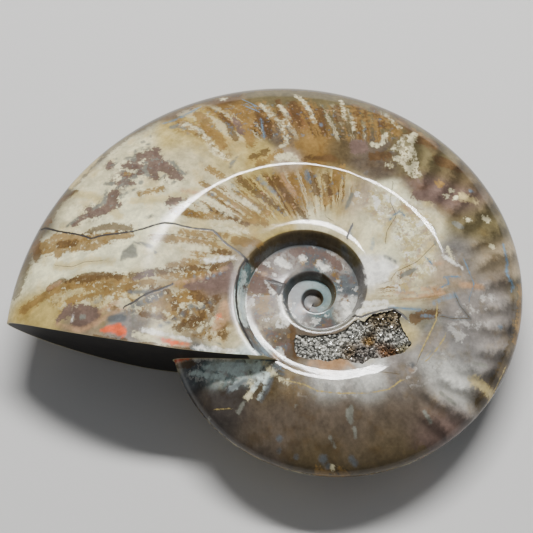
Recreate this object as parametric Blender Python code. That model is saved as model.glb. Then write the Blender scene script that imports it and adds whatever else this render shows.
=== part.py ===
# A polished Cleoniceras ammonite lying on its side, with an open pocket of crystals beside the umbilicus.
# Metres, +Z up. The cut end of the coil is on the left. The origin is under the middle of the fossil.
#
# The coil is built in its own frame: the coiling axis is Z, the plane of the coil is z = 0, and a growth
# angle of 0 points to +X and grows counter-clockwise seen from above. The empty at the end lays it down.

import math
import random

import bmesh
import bpy
import numpy as np
from mathutils import Euler, Vector
from mathutils.geometry import delaunay_2d_cdt

MM = 0.001
TURN = 2 * math.pi

# The coil at growth angle 0, and how much each length grows in one turn
VENTER_RADIUS = 52.5 * MM
VENTER_GROWTH = 2.13
SHOULDER_RADIUS = 12.47 * MM
SHOULDER_GROWTH = 2.45
HALF_THICKNESS = 11.45 * MM
THICKNESS_GROWTH = 1.54

# The whorl's section. Reach is 0 at the umbilical shoulder and 1 at the venter.
SHOULDER_REACH = 0.06
CREASE_REACH = 0.36
INNER_FALL = 0.16
OUTER_CURVE = 1.9
OUTER_SHARPNESS = 0.65
WALL_CORNER = 0.985
WALL_TIGHTNESS = 2.5
SEAM_SHARE = 0.85
SEAM_SHARE_A_TURN = 0.04

# The ground end of the coil: a nearly flat face that leans under and bows out a little
TIP_ANGLE = math.radians(183.45)
CUT_HEADING = math.radians(-10.9)
CUT_LEAN = math.radians(7.2)
CUT_BOW = 1.9 * MM
CUT_LENGTH = 61.0 * MM

# Growth angles between which a spiral of the last whorl, or of the whorl inside it, meets the end face
LAST_WHORL_SEARCH = (math.radians(150), math.radians(300))
OLDER_WHORL_SEARCH = (math.radians(-200), math.radians(-60))
HALVINGS = 40

# How finely the shell is divided
TURNS = 3
STEPS_A_TURN = 60
WALL_COLUMNS = 3
INNER_COLUMNS = 4
OUTER_COLUMNS = 9
VENTER_CROWDING = 1.7
SHARP_ANGLE = math.radians(40)

# The inner points of the end face: their spacing along it and across it, and how far off its edge they stay
CUT_SPACING = (6.0 * MM, 4.2 * MM)
CUT_ROWS_A_SIDE = 3
CUT_EDGE = 2.4 * MM
MERGE_DISTANCE = 1e-9

# The pocket's outline on the upper flank, as x and y in the coil's frame, and its floor
POCKET_OUTLINE = [
    (-4.9, -11.0), (-5.4, -12.8), (-5.4, -14.8), (-4.7, -16.6), (-2.8, -17.4), (0.3, -17.7),
    (2.4, -18.2), (4.1, -17.8), (6.0, -17.4), (8.4, -18.3), (10.8, -18.9), (12.9, -17.5),
    (15.8, -17.4), (20.9, -16.1), (22.9, -13.9), (22.2, -12.5), (20.9, -10.0), (20.1, -7.5),
    (20.8, -6.2), (19.1, -5.0), (13.5, -6.2), (11.7, -7.9), (10.3, -7.3), (9.1, -7.9),
    (7.0, -10.0), (4.7, -11.0), (2.1, -11.3), (-1.5, -11.4),
]
POCKET_FLOOR = 7.4 * MM
ABOVE_SHELL = 18.0 * MM

# The crust of crystals, which keeps clear of the pocket's walls and floor
CRUST_GAP = 0.3 * MM
CRUST_TOP = 8.6 * MM
CRYSTAL_TRIES = 5000
CRYSTAL_SPACING = 1.5 * MM
CRYSTAL_EDGE = 1.2 * MM
CRYSTAL_ROOT = 0.4 * MM
CRYSTAL_RADIUS = (0.75 * MM, 1.15 * MM)
CRYSTAL_DEPTH = (0.3 * MM, 1.0 * MM)
CRYSTAL_TILT = math.radians(16)
CRYSTAL_SIDES = 6
POINT_HEIGHT = (0.6, 1.0)
POINT_SHIFT = 0.3
CRYSTAL_SEED = 5
HOLLOWS = [(12.4, -12.3), (16.4, -14.6), (7.4, -15.0)]
HOLLOW_RADIUS = 2.0 * MM
HOLLOW_DEPTH = 1.0 * MM

# The edge of the wall between two chambers, which stands up through the crust
SEPTUM_LINE = [(7.6, -11.4), (9.3, -12.3), (10.9, -13.8), (13.0, -14.7), (14.9, -15.9)]
SEPTUM_WIDTH = 0.8 * MM
SEPTUM_DEPTH = 0.5 * MM

# How the coil lies: it leans on its lower flank, where a flat is ground
REST_TILT = (math.radians(-1.955), math.radians(1.83))
AXIS_PLACE = (12.07 * MM, -10.04 * MM, 13.25 * MM)
FLOOR_HALF_SIDE = 200.0 * MM
BELOW_FLOOR = 12.0 * MM


# The section of a whorl

def grown(length, factor, angle):
    return length * factor ** (angle / TURN)


def venter_radius(angle):
    return grown(VENTER_RADIUS, VENTER_GROWTH, angle)


def shoulder_radius(angle):
    return grown(SHOULDER_RADIUS, SHOULDER_GROWTH, angle)


def half_thickness(angle):
    return grown(HALF_THICKNESS, THICKNESS_GROWTH, angle)


def flank_share(reach):
    # The height of the flank at a reach, as a share of the half thickness
    inner = 1 - INNER_FALL * np.clip(reach - SHOULDER_REACH, 0, None) ** 2
    outer = np.clip((reach - CREASE_REACH) / (1 - CREASE_REACH), 0, 1)
    return inner * (1 - outer**OUTER_CURVE) ** OUTER_SHARPNESS


def seam_radius(angle):
    # Where the foot of the umbilical wall meets the whorl inside it
    return shoulder_radius(angle) * (SEAM_SHARE + SEAM_SHARE_A_TURN * angle / TURN)


def reach_of(radius, angle):
    return (radius - shoulder_radius(angle)) / (venter_radius(angle) - shoulder_radius(angle))


def seam_height(angle):
    older = angle - TURN
    return half_thickness(older) * flank_share(reach_of(seam_radius(angle), older))


def seam_station(angle):
    # The station on this whorl's flank where the next whorl's wall stands
    reach = reach_of(seam_radius(angle + TURN), angle)
    return 1 + (reach - SHOULDER_REACH) / (1 - SHOULDER_REACH)


def coil_point(angle, station, side):
    # Stations 0 to 1 climb the umbilical wall and round its shoulder, 1 to 2 cross the flank to the venter
    angle, station = np.broadcast_arrays(np.asarray(angle, float), np.asarray(station, float))
    inner_radius = shoulder_radius(angle)
    width = venter_radius(angle) - inner_radius
    thickness = half_thickness(angle)
    climb = np.clip(station, 0, 1)
    foot = (1 - climb) ** 2
    corner = 2 * WALL_TIGHTNESS * climb * (1 - climb)
    top = climb**2
    total = foot + corner + top
    top_radius = inner_radius + SHOULDER_REACH * width
    wall_radius = foot * seam_radius(angle) + corner * WALL_CORNER * inner_radius + top * top_radius
    wall_height = foot * seam_height(angle) + (corner + top) * thickness
    reach = SHOULDER_REACH + (1 - SHOULDER_REACH) * np.clip(station - 1, 0, 1)
    on_wall = station <= 1
    radius = np.where(on_wall, wall_radius / total, inner_radius + reach * width)
    height = np.where(on_wall, wall_height / total, thickness * flank_share(reach))
    return np.stack([radius * np.cos(angle), radius * np.sin(angle), side * height], -1)


# The ground end of the coil

def tip_point():
    return coil_point(TIP_ANGLE, 2.0, 1)


def cut_axes():
    along = np.array([math.cos(CUT_HEADING), math.sin(CUT_HEADING), 0.0])
    inward = np.array([-math.sin(CUT_HEADING), math.cos(CUT_HEADING), math.tan(CUT_LEAN)])
    return along, inward


def cut_bow(distance):
    share = distance / CUT_LENGTH
    return 4 * CUT_BOW * share * (1 - share)


def inside_cut(points):
    # How far points lie on the kept side of the end face
    along, inward = cut_axes()
    offset = points - tip_point()
    return offset @ inward + cut_bow(offset @ along)


def angle_at_cut(stations, side, search):
    # Halving finds the growth angle at which each station's spiral meets the end face
    low = np.full(len(stations), search[0])
    high = np.full(len(stations), search[1])
    low_sign = inside_cut(coil_point(low, stations, side)) > 0
    for _ in range(HALVINGS):
        middle = (low + high) / 2
        same = (inside_cut(coil_point(middle, stations, side)) > 0) == low_sign
        low = np.where(same, middle, low)
        high = np.where(same, high, middle)
    return (low + high) / 2


# The shell's mesh: on each side one spiral ribbon, whose outer edge is the foot of the next whorl's wall.
# In the last turn the ribbon goes on to the venter, where the two sides meet.

SEAM_COLUMN = WALL_COLUMNS + INNER_COLUMNS
VENTER_COLUMN = SEAM_COLUMN + OUTER_COLUMNS
LAST_ROW = TURNS * STEPS_A_TURN
FIRST_OPEN_ROW = LAST_ROW - STEPS_A_TURN


def spread(first, last, steps):
    return np.linspace(first, last, steps + 1)


def stations_at(angle):
    seam = float(seam_station(angle))
    wall = spread(0, 1, WALL_COLUMNS)
    inner = spread(1, seam, INNER_COLUMNS)[1:]
    outer = 2 - (2 - seam) * spread(1, 0, OUTER_COLUMNS)[1:] ** VENTER_CROWDING
    return np.concatenate([wall, inner, outer])


def corner_angle(side):
    # The growth angle at which the foot of the umbilical wall meets the end face
    return float(angle_at_cut(np.array([0.0]), side, LAST_WHORL_SEARCH)[0])


def side_rows(side):
    # The points of one side, row by row along the coil
    corner = corner_angle(side)
    end_stations = stations_at(corner)
    end_angles = angle_at_cut(end_stations, side, LAST_WHORL_SEARCH)
    start_angles = np.full(VENTER_COLUMN + 1, corner - TURN)
    outer = slice(SEAM_COLUMN + 1, None)
    start_stations = stations_at(corner - TURN)
    start_angles[outer] = angle_at_cut(start_stations[outer], side, OLDER_WHORL_SEARCH)
    rows = []
    for row in range(LAST_ROW + 1):
        share = (row - FIRST_OPEN_ROW) / STEPS_A_TURN
        if row < FIRST_OPEN_ROW:
            angles = corner + (share - 1) * TURN
            stations = stations_at(angles)[: SEAM_COLUMN + 1]
        else:
            angles = start_angles + share * (end_angles - start_angles)
            stations = stations_at(corner + (share - 1) * TURN)
        rows.append(coil_point(angles, stations, side))
    return rows


def shell_mesh():
    points = []
    numbers = {}

    def number(side, row, column):
        if column == SEAM_COLUMN and row <= FIRST_OPEN_ROW:
            row, column = row + STEPS_A_TURN, 0
        if column == VENTER_COLUMN:
            side = 1
        return numbers[side, row, column]

    for side in (1, -1):
        for row, line in enumerate(side_rows(side)):
            for column, point in enumerate(line):
                shared = column == SEAM_COLUMN and row <= FIRST_OPEN_ROW
                if shared or (side < 0 and column == VENTER_COLUMN):
                    continue
                numbers[side, row, column] = len(points)
                points.append(point)

    faces = []
    for side in (1, -1):
        for row in range(LAST_ROW):
            columns = VENTER_COLUMN if row >= FIRST_OPEN_ROW else SEAM_COLUMN
            for column in range(columns):
                face = [
                    number(side, row, column),
                    number(side, row, column + 1),
                    number(side, row + 1, column + 1),
                    number(side, row + 1, column),
                ]
                faces.append(face[::side])
        faces += first_chamber(side, number, points)
    faces += end_face(number, points)
    return points, faces


def first_chamber(side, number, points):
    # A low cap over the middle of the umbilicus
    rim = [number(side, row, 0) for row in range(STEPS_A_TURN + 1)]
    rim += [number(side, 0, column) for column in range(SEAM_COLUMN - 1, 0, -1)]
    middle = len(points)
    points.append(np.mean([points[vertex] for vertex in rim], axis=0))
    return [[middle, a, b][::side] for a, b in zip(rim, rim[1:] + rim[:1])]


def end_face(number, points):
    # The face between the last whorl's edge and the older whorl that comes out from under it
    edge = [number(1, LAST_ROW, column) for column in range(VENTER_COLUMN + 1)]
    edge += [number(-1, LAST_ROW, column) for column in range(VENTER_COLUMN - 1, -1, -1)]
    edge += [number(-1, FIRST_OPEN_ROW, column) for column in range(SEAM_COLUMN + 1, VENTER_COLUMN)]
    edge += [number(1, FIRST_OPEN_ROW, column) for column in range(VENTER_COLUMN, SEAM_COLUMN, -1)]
    along, _ = cut_axes()
    tip = tip_point()
    flat = [Vector(((points[vertex] - tip) @ along, points[vertex][2])) for vertex in edge]
    inner = []
    for distance in np.arange(CUT_SPACING[0], CUT_LENGTH, CUT_SPACING[0]):
        for row in range(-CUT_ROWS_A_SIDE, CUT_ROWS_A_SIDE + 1):
            spot = Vector((distance, row * CUT_SPACING[1]))
            if min((spot - other).length for other in flat) > CUT_EDGE:
                inner.append(spot)
    outline = [list(range(len(edge)))]
    spots, _, triangles, sources, _, _ = delaunay_2d_cdt(flat + inner, [], outline, 1, MERGE_DISTANCE)
    vertices = {}
    faces = []
    for triangle in triangles:
        for spot in triangle:
            if spot not in vertices:
                vertices[spot] = end_vertex(spots[spot], sources[spot], edge, points)
        faces.append([vertices[spot] for spot in triangle])
    return faces


def end_vertex(spot, sources, edge, points):
    # The number of a point of the end face, which is added unless it is on the edge
    on_edge = [source for source in sources if source < len(edge)]
    if on_edge:
        return edge[on_edge[0]]
    along, inward = cut_axes()
    flat_inward = np.array([inward[0], inward[1], 0.0])
    back = -cut_bow(spot.x) - spot.y * inward[2]
    points.append(tip_point() + along * spot.x + flat_inward * back + np.array([0, 0, spot.y]))
    return len(points) - 1


# The pocket and its crystals

def upper_flank(x, y):
    # The height of the last whorl's upper flank over a point on its front side
    angle = math.atan2(y, x)
    reach = reach_of(math.hypot(x, y), angle)
    return float(half_thickness(angle) * flank_share(np.clip(reach, 0, 1)))


def in_metres(outline):
    return [Vector((x * MM, y * MM)) for x, y in outline]


def inset(outline, distance):
    # Each corner of a counter-clockwise outline moved inwards along its bisector
    moved = []
    for before, here, after in zip(outline[-1:] + outline[:-1], outline, outline[1:] + outline[:1]):
        first = (here - before).normalized()
        second = (after - here).normalized()
        bisector = (first + second).orthogonal().normalized()
        moved.append(here + bisector * distance / max(0.5, bisector.dot(first.orthogonal())))
    return moved


def is_inside(outline, spot):
    inside = False
    for a, b in zip(outline, outline[1:] + outline[:1]):
        if (a.y > spot.y) != (b.y > spot.y):
            inside ^= spot.x < a.x + (spot.y - a.y) * (b.x - a.x) / (b.y - a.y)
    return inside


def nearest_edge(outline, spot):
    distances = []
    for a, b in zip(outline, outline[1:] + outline[:1]):
        along = b - a
        share = min(1, max(0, (spot - a).dot(along) / along.length_squared))
        distances.append((spot - a - along * share).length)
    return min(distances)


def prism(name, outline, bottom, top):
    mesh = bmesh.new()
    base = mesh.faces.new([mesh.verts.new((corner.x, corner.y, bottom)) for corner in outline])
    pulled = bmesh.ops.extrude_face_region(mesh, geom=[base])
    lifted = [item for item in pulled["geom"] if isinstance(item, bmesh.types.BMVert)]
    bmesh.ops.translate(mesh, verts=lifted, vec=(0, 0, top - bottom))
    bmesh.ops.recalc_face_normals(mesh, faces=mesh.faces)
    return new_object(name, mesh)


def ribbon_outline(line, width):
    # A closed outline of one width around a bent line
    left = []
    right = []
    for index, here in enumerate(line):
        before = line[max(index - 1, 0)]
        after = line[min(index + 1, len(line) - 1)]
        across = (after - before).orthogonal().normalized() * width / 2
        left.append(here + across)
        right.append(here - across)
    return right + left[::-1]


def crystal(chance, spot, bottom):
    # A six-sided crystal with a pointed end, leaning a little
    radius = chance.uniform(*CRYSTAL_RADIUS)
    point_height = radius * chance.uniform(*POINT_HEIGHT)
    tip = upper_flank(spot.x, spot.y) - chance.uniform(*CRYSTAL_DEPTH) - hollow_depth(spot)
    length = tip - bottom - point_height
    mesh = bmesh.new()
    bmesh.ops.create_cone(
        mesh, cap_ends=True, segments=CRYSTAL_SIDES, radius1=radius, radius2=radius, depth=length
    )
    top_face = max(mesh.faces, key=lambda face: face.calc_center_median().z)
    peak = bmesh.ops.poke(mesh, faces=[top_face])["verts"][0]
    shift = radius * POINT_SHIFT
    peak.co += Vector((chance.uniform(-shift, shift), chance.uniform(-shift, shift), point_height))
    bmesh.ops.translate(mesh, verts=mesh.verts, vec=(0, 0, length / 2))
    lean = Euler((chance.uniform(-1, 1) * CRYSTAL_TILT, chance.uniform(-1, 1) * CRYSTAL_TILT, 0))
    spin = Euler((0, 0, chance.uniform(0, TURN)))
    turned = lean.to_matrix() @ spin.to_matrix()
    bmesh.ops.rotate(mesh, verts=mesh.verts, cent=(0, 0, 0), matrix=turned)
    bmesh.ops.translate(mesh, verts=mesh.verts, vec=(spot.x, spot.y, bottom))
    return mesh


def hollow_depth(spot):
    nearest = min((spot - hollow).length for hollow in in_metres(HOLLOWS))
    return HOLLOW_DEPTH * max(0, 1 - (nearest / HOLLOW_RADIUS) ** 2)


def crystal_spots(chance, outline):
    left, right = min(corner.x for corner in outline), max(corner.x for corner in outline)
    front, back = min(corner.y for corner in outline), max(corner.y for corner in outline)
    spots = []
    for _ in range(CRYSTAL_TRIES):
        spot = Vector((chance.uniform(left, right), chance.uniform(front, back)))
        clear = is_inside(outline, spot) and nearest_edge(outline, spot) > CRYSTAL_EDGE
        if clear and all((spot - other).length > CRYSTAL_SPACING for other in spots):
            spots.append(spot)
    return spots


# Objects and materials

def new_object(name, mesh, collection=None):
    data = bpy.data.meshes.new(name)
    mesh.to_mesh(data)
    mesh.free()
    thing = bpy.data.objects.new(name, data)
    (collection or bpy.context.scene.collection).objects.link(thing)
    return thing


def make_helper(thing):
    thing.hide_render = True
    thing.display_type = "WIRE"


def add_cut(thing, cutter):
    modifier = thing.modifiers.new(cutter.name, "BOOLEAN")
    modifier.operation = "DIFFERENCE"
    modifier.solver = "EXACT"
    modifier.object = cutter


def material(name, colour, roughness):
    made = bpy.data.materials.new(name)
    made.use_nodes = True
    shader = made.node_tree.nodes["Principled BSDF"]
    shader.inputs["Base Color"].default_value = (*colour, 1)
    shader.inputs["Roughness"].default_value = roughness
    return made


def make_shell(rest):
    points, faces = shell_mesh()
    data = bpy.data.meshes.new("ammonite_shell")
    data.from_pydata([tuple(point) for point in points], [], faces)
    data.shade_smooth()
    data.set_sharp_from_angle(angle=SHARP_ANGLE)
    data.materials.append(material("polished_shell", (0.42, 0.31, 0.2), 0.12))
    shell = bpy.data.objects.new("ammonite_shell", data)
    bpy.context.scene.collection.objects.link(shell)
    shell.parent = rest
    pocket = prism("pocket_cutter", in_metres(POCKET_OUTLINE), POCKET_FLOOR, ABOVE_SHELL)
    pocket.parent = rest
    make_helper(pocket)
    add_cut(shell, pocket)
    square = [Vector(corner) * FLOOR_HALF_SIDE for corner in ((-1, -1), (1, -1), (1, 1), (-1, 1))]
    floor = prism("rest_flat_cutter", square, -BELOW_FLOOR, 0)
    make_helper(floor)
    add_cut(shell, floor)


def make_crust(rest):
    chance = random.Random(CRYSTAL_SEED)
    outline = inset(in_metres(POCKET_OUTLINE), CRUST_GAP)
    bottom = POCKET_FLOOR + CRUST_GAP
    crust = prism("crystal_crust", outline, bottom, CRUST_TOP)
    crust.data.materials.append(material("crystal_crust", (0.4, 0.37, 0.33), 0.3))
    crust.parent = rest
    growths = bpy.data.collections.new("growths")
    growths.hide_render = True
    bpy.context.scene.collection.children.link(growths)
    for index, spot in enumerate(crystal_spots(chance, outline)):
        new_object(f"crystal_{index}", crystal(chance, spot, bottom + CRYSTAL_ROOT), growths)
    line = in_metres(SEPTUM_LINE)
    middle = line[len(line) // 2]
    septum_top = upper_flank(middle.x, middle.y) - SEPTUM_DEPTH
    septum = prism("septum", ribbon_outline(line, SEPTUM_WIDTH), bottom + CRYSTAL_ROOT, septum_top)
    bpy.context.scene.collection.objects.unlink(septum)
    growths.objects.link(septum)
    for growth in growths.objects:
        growth.parent = rest
        make_helper(growth)
    modifier = crust.modifiers.new("growths", "BOOLEAN")
    modifier.operation = "UNION"
    modifier.solver = "EXACT"
    modifier.operand_type = "COLLECTION"
    modifier.collection = growths


def main():
    for thing in list(bpy.data.objects):
        bpy.data.objects.remove(thing)
    rest = bpy.data.objects.new("rest", None)
    rest.location = AXIS_PLACE
    rest.rotation_euler = (REST_TILT[0], REST_TILT[1], 0)
    bpy.context.scene.collection.objects.link(rest)
    make_shell(rest)
    make_crust(rest)
    bpy.context.view_layer.update()


main()
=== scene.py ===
import math
import random
from collections import namedtuple

import bmesh
import bpy
import numpy as np
from mathutils import Euler, Matrix, Vector
from mathutils.geometry import delaunay_2d_cdt


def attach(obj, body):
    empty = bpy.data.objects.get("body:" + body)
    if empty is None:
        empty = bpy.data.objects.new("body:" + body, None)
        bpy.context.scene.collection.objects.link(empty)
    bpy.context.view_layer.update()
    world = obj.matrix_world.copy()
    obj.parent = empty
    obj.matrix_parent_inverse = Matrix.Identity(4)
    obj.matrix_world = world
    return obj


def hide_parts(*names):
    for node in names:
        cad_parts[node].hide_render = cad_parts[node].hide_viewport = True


mm = 0.001
turn = 2 * math.pi

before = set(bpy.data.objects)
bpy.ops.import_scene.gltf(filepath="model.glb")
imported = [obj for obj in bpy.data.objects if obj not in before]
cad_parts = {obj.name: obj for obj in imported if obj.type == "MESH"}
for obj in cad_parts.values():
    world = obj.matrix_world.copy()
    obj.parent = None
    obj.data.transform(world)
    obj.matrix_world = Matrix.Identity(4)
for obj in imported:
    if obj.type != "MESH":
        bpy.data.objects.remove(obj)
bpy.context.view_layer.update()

rest = {"tilt": (-1.955, 1.83), "axisPlace": (12.07, -10.04, 13.25)}
restMatrix = Matrix.Translation(Vector(rest["axisPlace"]) * mm)
restMatrix = restMatrix @ Euler([math.radians(angle) for angle in rest["tilt"]] + [0]).to_matrix().to_4x4()
coilToWorld = restMatrix @ Matrix.Scale(mm, 4)


# The coil: its lengths at growth angle 0 and how much each grows in a turn
coil = {
    "venterRadius": 52.5, "venterGrowth": 2.13,
    "shoulderRadius": 12.47, "shoulderGrowth": 2.45,
    "halfThickness": 11.45, "thicknessGrowth": 1.54,
    "shoulderReach": 0.035, "creaseReach": 0.37,  # reach is 0 at the umbilical shoulder and 1 at the venter
    "creaseBulge": (0.12, -12, 55),  # the crest swings outwards: how far, at which growth angle, how widely
    "lip": (0.012, 50, 48), "lipWidth": 0.07,  # likewise, the umbilical shoulder stands up a little
    "crestShare": 0.985, "crestRise": 0.042,  # the inner flank is flat and lower than the crest
    "riseFrom": 0.73, "riseCurve": 0.2, "innerRise": 0.02,
    "olderRise": 0.3, "newer": (-200, -150),  # older whorls have a lower crest
    "outerFall": 0.16, "outerCurve": 1.62, "outerSharpness": 0.52,
    "wallCorner": 0.985, "wallTightness": 3.6,
    "seamShare": 0.85, "seamShareATurn": 0.04,
    "tipAngle": 183.45, "cutHeading": -10.9, "cutLean": 7.2, "cutBow": 1.9, "cutLength": 61.0,
}

# How finely it is divided: the lower side needs fewer columns
mesh = {
    "turns": 3, "stepsATurn": 480, "venterCrowding": 1.7, "flankEvenness": 0.35,
    "columns": {1: (9, 17, 42), -1: (6, 7, 30)},  # umbilical wall, inner flank, outer flank
    "cutSpacing": 1.2, "cutEdge": 0.55, "cutHalfHeight": 20,
    "lastWhorl": (150, 300), "olderWhorl": (-200, -60), "halvings": 40, "sharpAngle": 40,
}


def grown(length, factor, angle):
    return length * factor ** (angle / turn)


def venterRadius(angle):
    return grown(coil["venterRadius"], coil["venterGrowth"], angle)


def shoulderRadius(angle):
    return grown(coil["shoulderRadius"], coil["shoulderGrowth"], angle)


def halfThickness(angle):
    return grown(coil["halfThickness"], coil["thicknessGrowth"], angle)


def ramp(value, start, end):
    # 0 up to the start, 1 from the end on, and straight between them
    return np.clip((value - start) / (end - start), 0, 1)


def eased(share):
    return share * share * (3 - 2 * share)


def bulgeAt(angle, bulge):
    most, middle, width = bulge
    return most * np.exp(-((np.degrees(angle) - middle) / width) ** 2)


def creaseAt(angle):
    return coil["creaseReach"] + bulgeAt(angle, coil["creaseBulge"])


def flankShare(reach, angle):
    # Height of the flank as a share of the half thickness
    crease = creaseAt(angle) - coil["shoulderReach"]
    beyond = reach - coil["shoulderReach"]
    across = ramp(beyond, 0, crease)
    lip = bulgeAt(angle, coil["lip"]) * (1 - eased(ramp(across, 0, coil["lipWidth"])))
    rise = ramp(across, coil["riseFrom"], 1)
    rise = rise * (1 - coil["riseCurve"] + coil["riseCurve"] * rise)
    newer = ramp(np.degrees(angle), *coil["newer"])
    crestRise = coil["crestRise"] * (coil["olderRise"] + (1 - coil["olderRise"]) * newer)
    inner = coil["crestShare"] + lip - crestRise * (1 - rise) - coil["innerRise"] * (1 - across)
    inner = inner - coil["outerFall"] * np.clip(beyond**2 - crease**2, 0, None)
    outer = ramp(reach, creaseAt(angle), 1)
    return inner * (1 - outer ** coil["outerCurve"]) ** coil["outerSharpness"]


def seamRadius(angle):
    # Where the foot of the umbilical wall meets the whorl inside it
    return shoulderRadius(angle) * (coil["seamShare"] + coil["seamShareATurn"] * angle / turn)


def reachOf(radius, angle):
    return (radius - shoulderRadius(angle)) / (venterRadius(angle) - shoulderRadius(angle))


def coilPoint(angle, station, side):
    # Stations 0 to 1 climb the umbilical wall and round its shoulder, 1 to 2 cross the flank to the venter
    angle, station = np.broadcast_arrays(np.asarray(angle, float), np.asarray(station, float))
    innerRadius = shoulderRadius(angle)
    width = venterRadius(angle) - innerRadius
    thickness = halfThickness(angle)
    climb = np.clip(station, 0, 1)
    foot, corner, top = (1 - climb) ** 2, 2 * coil["wallTightness"] * climb * (1 - climb), climb**2
    seam, older = seamRadius(angle), angle - turn
    seamHeight = halfThickness(older) * flankShare(reachOf(seam, older), older)
    topRadius = innerRadius + coil["shoulderReach"] * width
    wallRadius = foot * seam + corner * coil["wallCorner"] * innerRadius + top * topRadius
    shoulderHeight = thickness * flankShare(coil["shoulderReach"], angle)
    wallHeight = foot * seamHeight + (corner + top) * shoulderHeight
    total = foot + corner + top
    reach = coil["shoulderReach"] + (1 - coil["shoulderReach"]) * np.clip(station - 1, 0, 1)
    radius = np.where(station <= 1, wallRadius / total, innerRadius + reach * width)
    height = np.where(station <= 1, wallHeight / total, thickness * flankShare(reach, angle))
    return np.stack([radius * np.cos(angle), radius * np.sin(angle), side * height], -1)


# The ground end of the coil, a nearly flat face
tipPoint = coilPoint(math.radians(coil["tipAngle"]), 2.0, 1)
heading, lean = math.radians(coil["cutHeading"]), math.radians(coil["cutLean"])
cutAlong = np.array([math.cos(heading), math.sin(heading), 0.0])
cutInward = np.array([-math.sin(heading), math.cos(heading), math.tan(lean)])


def cutBow(distance):
    share = distance / coil["cutLength"]
    return 4 * coil["cutBow"] * share * (1 - share)


def insideCut(points):
    offset = points - tipPoint
    return offset @ cutInward + cutBow(offset @ cutAlong)


def angleAtCut(stations, side, search):
    # Halving finds the growth angle at which each station's spiral meets the end face
    low, high = (np.full(len(stations), math.radians(angle)) for angle in search)
    lowSign = insideCut(coilPoint(low, stations, side)) > 0
    for _ in range(mesh["halvings"]):
        middle = (low + high) / 2
        same = (insideCut(coilPoint(middle, stations, side)) > 0) == lowSign
        low, high = np.where(same, middle, low), np.where(same, high, middle)
    return (low + high) / 2


def stationsAt(angle, columns):
    wall, inner, outer = columns
    reach = reachOf(seamRadius(angle + turn), angle)
    seam = 1 + (reach - coil["shoulderReach"]) / (1 - coil["shoulderReach"])
    crowded = 2 - (2 - seam) * np.linspace(1, 0, outer + 1)[1:] ** mesh["venterCrowding"]
    even, evenness = np.linspace(0, 1, inner + 1)[1:], mesh["flankEvenness"]
    flank = evenness * even + (1 - evenness) * eased(even)  # closer together by the shoulder and the crest
    return np.concatenate([np.linspace(0, 1, wall + 1), 1 + (seam - 1) * flank, crowded])


def sideRows(side):
    # The points of one side, row by row along the coil; rows inside the next whorl stop at its seam
    columns, steps = mesh["columns"][side], mesh["stepsATurn"]
    seamColumn = columns[0] + columns[1]
    corner = float(angleAtCut(np.zeros(1), side, mesh["lastWhorl"])[0])
    endAngles = angleAtCut(stationsAt(corner, columns), side, mesh["lastWhorl"])
    startAngles = np.full(len(endAngles), corner - turn)
    startStations = stationsAt(corner - turn, columns)
    startAngles[seamColumn + 1:] = angleAtCut(startStations[seamColumn + 1:], side, mesh["olderWhorl"])
    rows = []
    for row in range(mesh["turns"] * steps + 1):
        share = (row - (mesh["turns"] - 1) * steps) / steps
        angle = corner + (share - 1) * turn
        stations = stationsAt(angle, columns)
        if share < 0:
            rows.append(coilPoint(angle, stations[:seamColumn + 1], side))
        else:
            rows.append(coilPoint(startAngles + share * (endAngles - startAngles), stations, side))
    return rows


def shellGrid():
    # All points, and for each side the point number at each row and column
    steps, firstOpen = mesh["stepsATurn"], (mesh["turns"] - 1) * mesh["stepsATurn"]
    lastRow = mesh["turns"] * steps
    points, numbers, count = [], {}, 0
    for side, columns in mesh["columns"].items():
        rows = sideRows(side)
        seamColumn, venterColumn = columns[0] + columns[1], sum(columns)
        number = np.full((lastRow + 1, venterColumn + 1), -1)
        for row, line in enumerate(rows):
            kept = np.ones(len(line), bool)
            kept[seamColumn] = row > firstOpen  # the seam is shared with the next whorl's foot
            if side < 0 and row >= firstOpen:
                kept[venterColumn] = False  # the venter is shared with the upper side
            number[row, np.nonzero(kept)[0]] = count + np.arange(kept.sum())
            count += int(kept.sum())
            points.append(line[kept])
        for row in range(firstOpen, -1, -1):
            number[row, seamColumn] = number[row + steps, 0]
        numbers[side] = number
    numbers[-1][firstOpen:, -1] = numbers[1][firstOpen:, -1]
    return np.concatenate(points), numbers


def shellFaces(points, numbers):
    # The sides' faces, and a fan that closes the middle of each umbilicus
    steps, firstOpen = mesh["stepsATurn"], (mesh["turns"] - 1) * mesh["stepsATurn"]
    faces, extra = [], []
    for side, columns in mesh["columns"].items():
        number, seamColumn = numbers[side], columns[0] + columns[1]
        for first, last, width in ((0, firstOpen, seamColumn), (firstOpen, len(number) - 1, sum(columns))):
            block = number[first:last + 1, :width + 1]
            quads = np.stack([block[:-1, :-1], block[:-1, 1:], block[1:, 1:], block[1:, :-1]], -1)
            faces += quads.reshape(-1, 4)[:, ::side].tolist()
        rim = number[:steps + 1, 0].tolist() + number[0, 1:seamColumn][::-1].tolist()
        middle = len(points) + len(extra)
        extra.append(points[rim].mean(0))
        faces += [[middle, a, b][::side] for a, b in zip(rim, rim[1:] + rim[:1])]
    return faces, np.concatenate([points, extra])


def filledOutline(outline, inner):
    # Triangles that fill an outline by way of the places inside it, and what each of their corners was
    corners = [Vector(spot) for spot in np.concatenate([outline, inner])]
    insideOnly, mergeDistance = 1, 1e-9
    rim = [list(range(len(outline)))]
    spots, _, triangles, sources, _, _ = delaunay_2d_cdt(corners, [], rim, insideOnly, mergeDistance)
    return spots, triangles, sources


endOutline = []  # the end face's outline, along the cut and up, filled when the face is made


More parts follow.
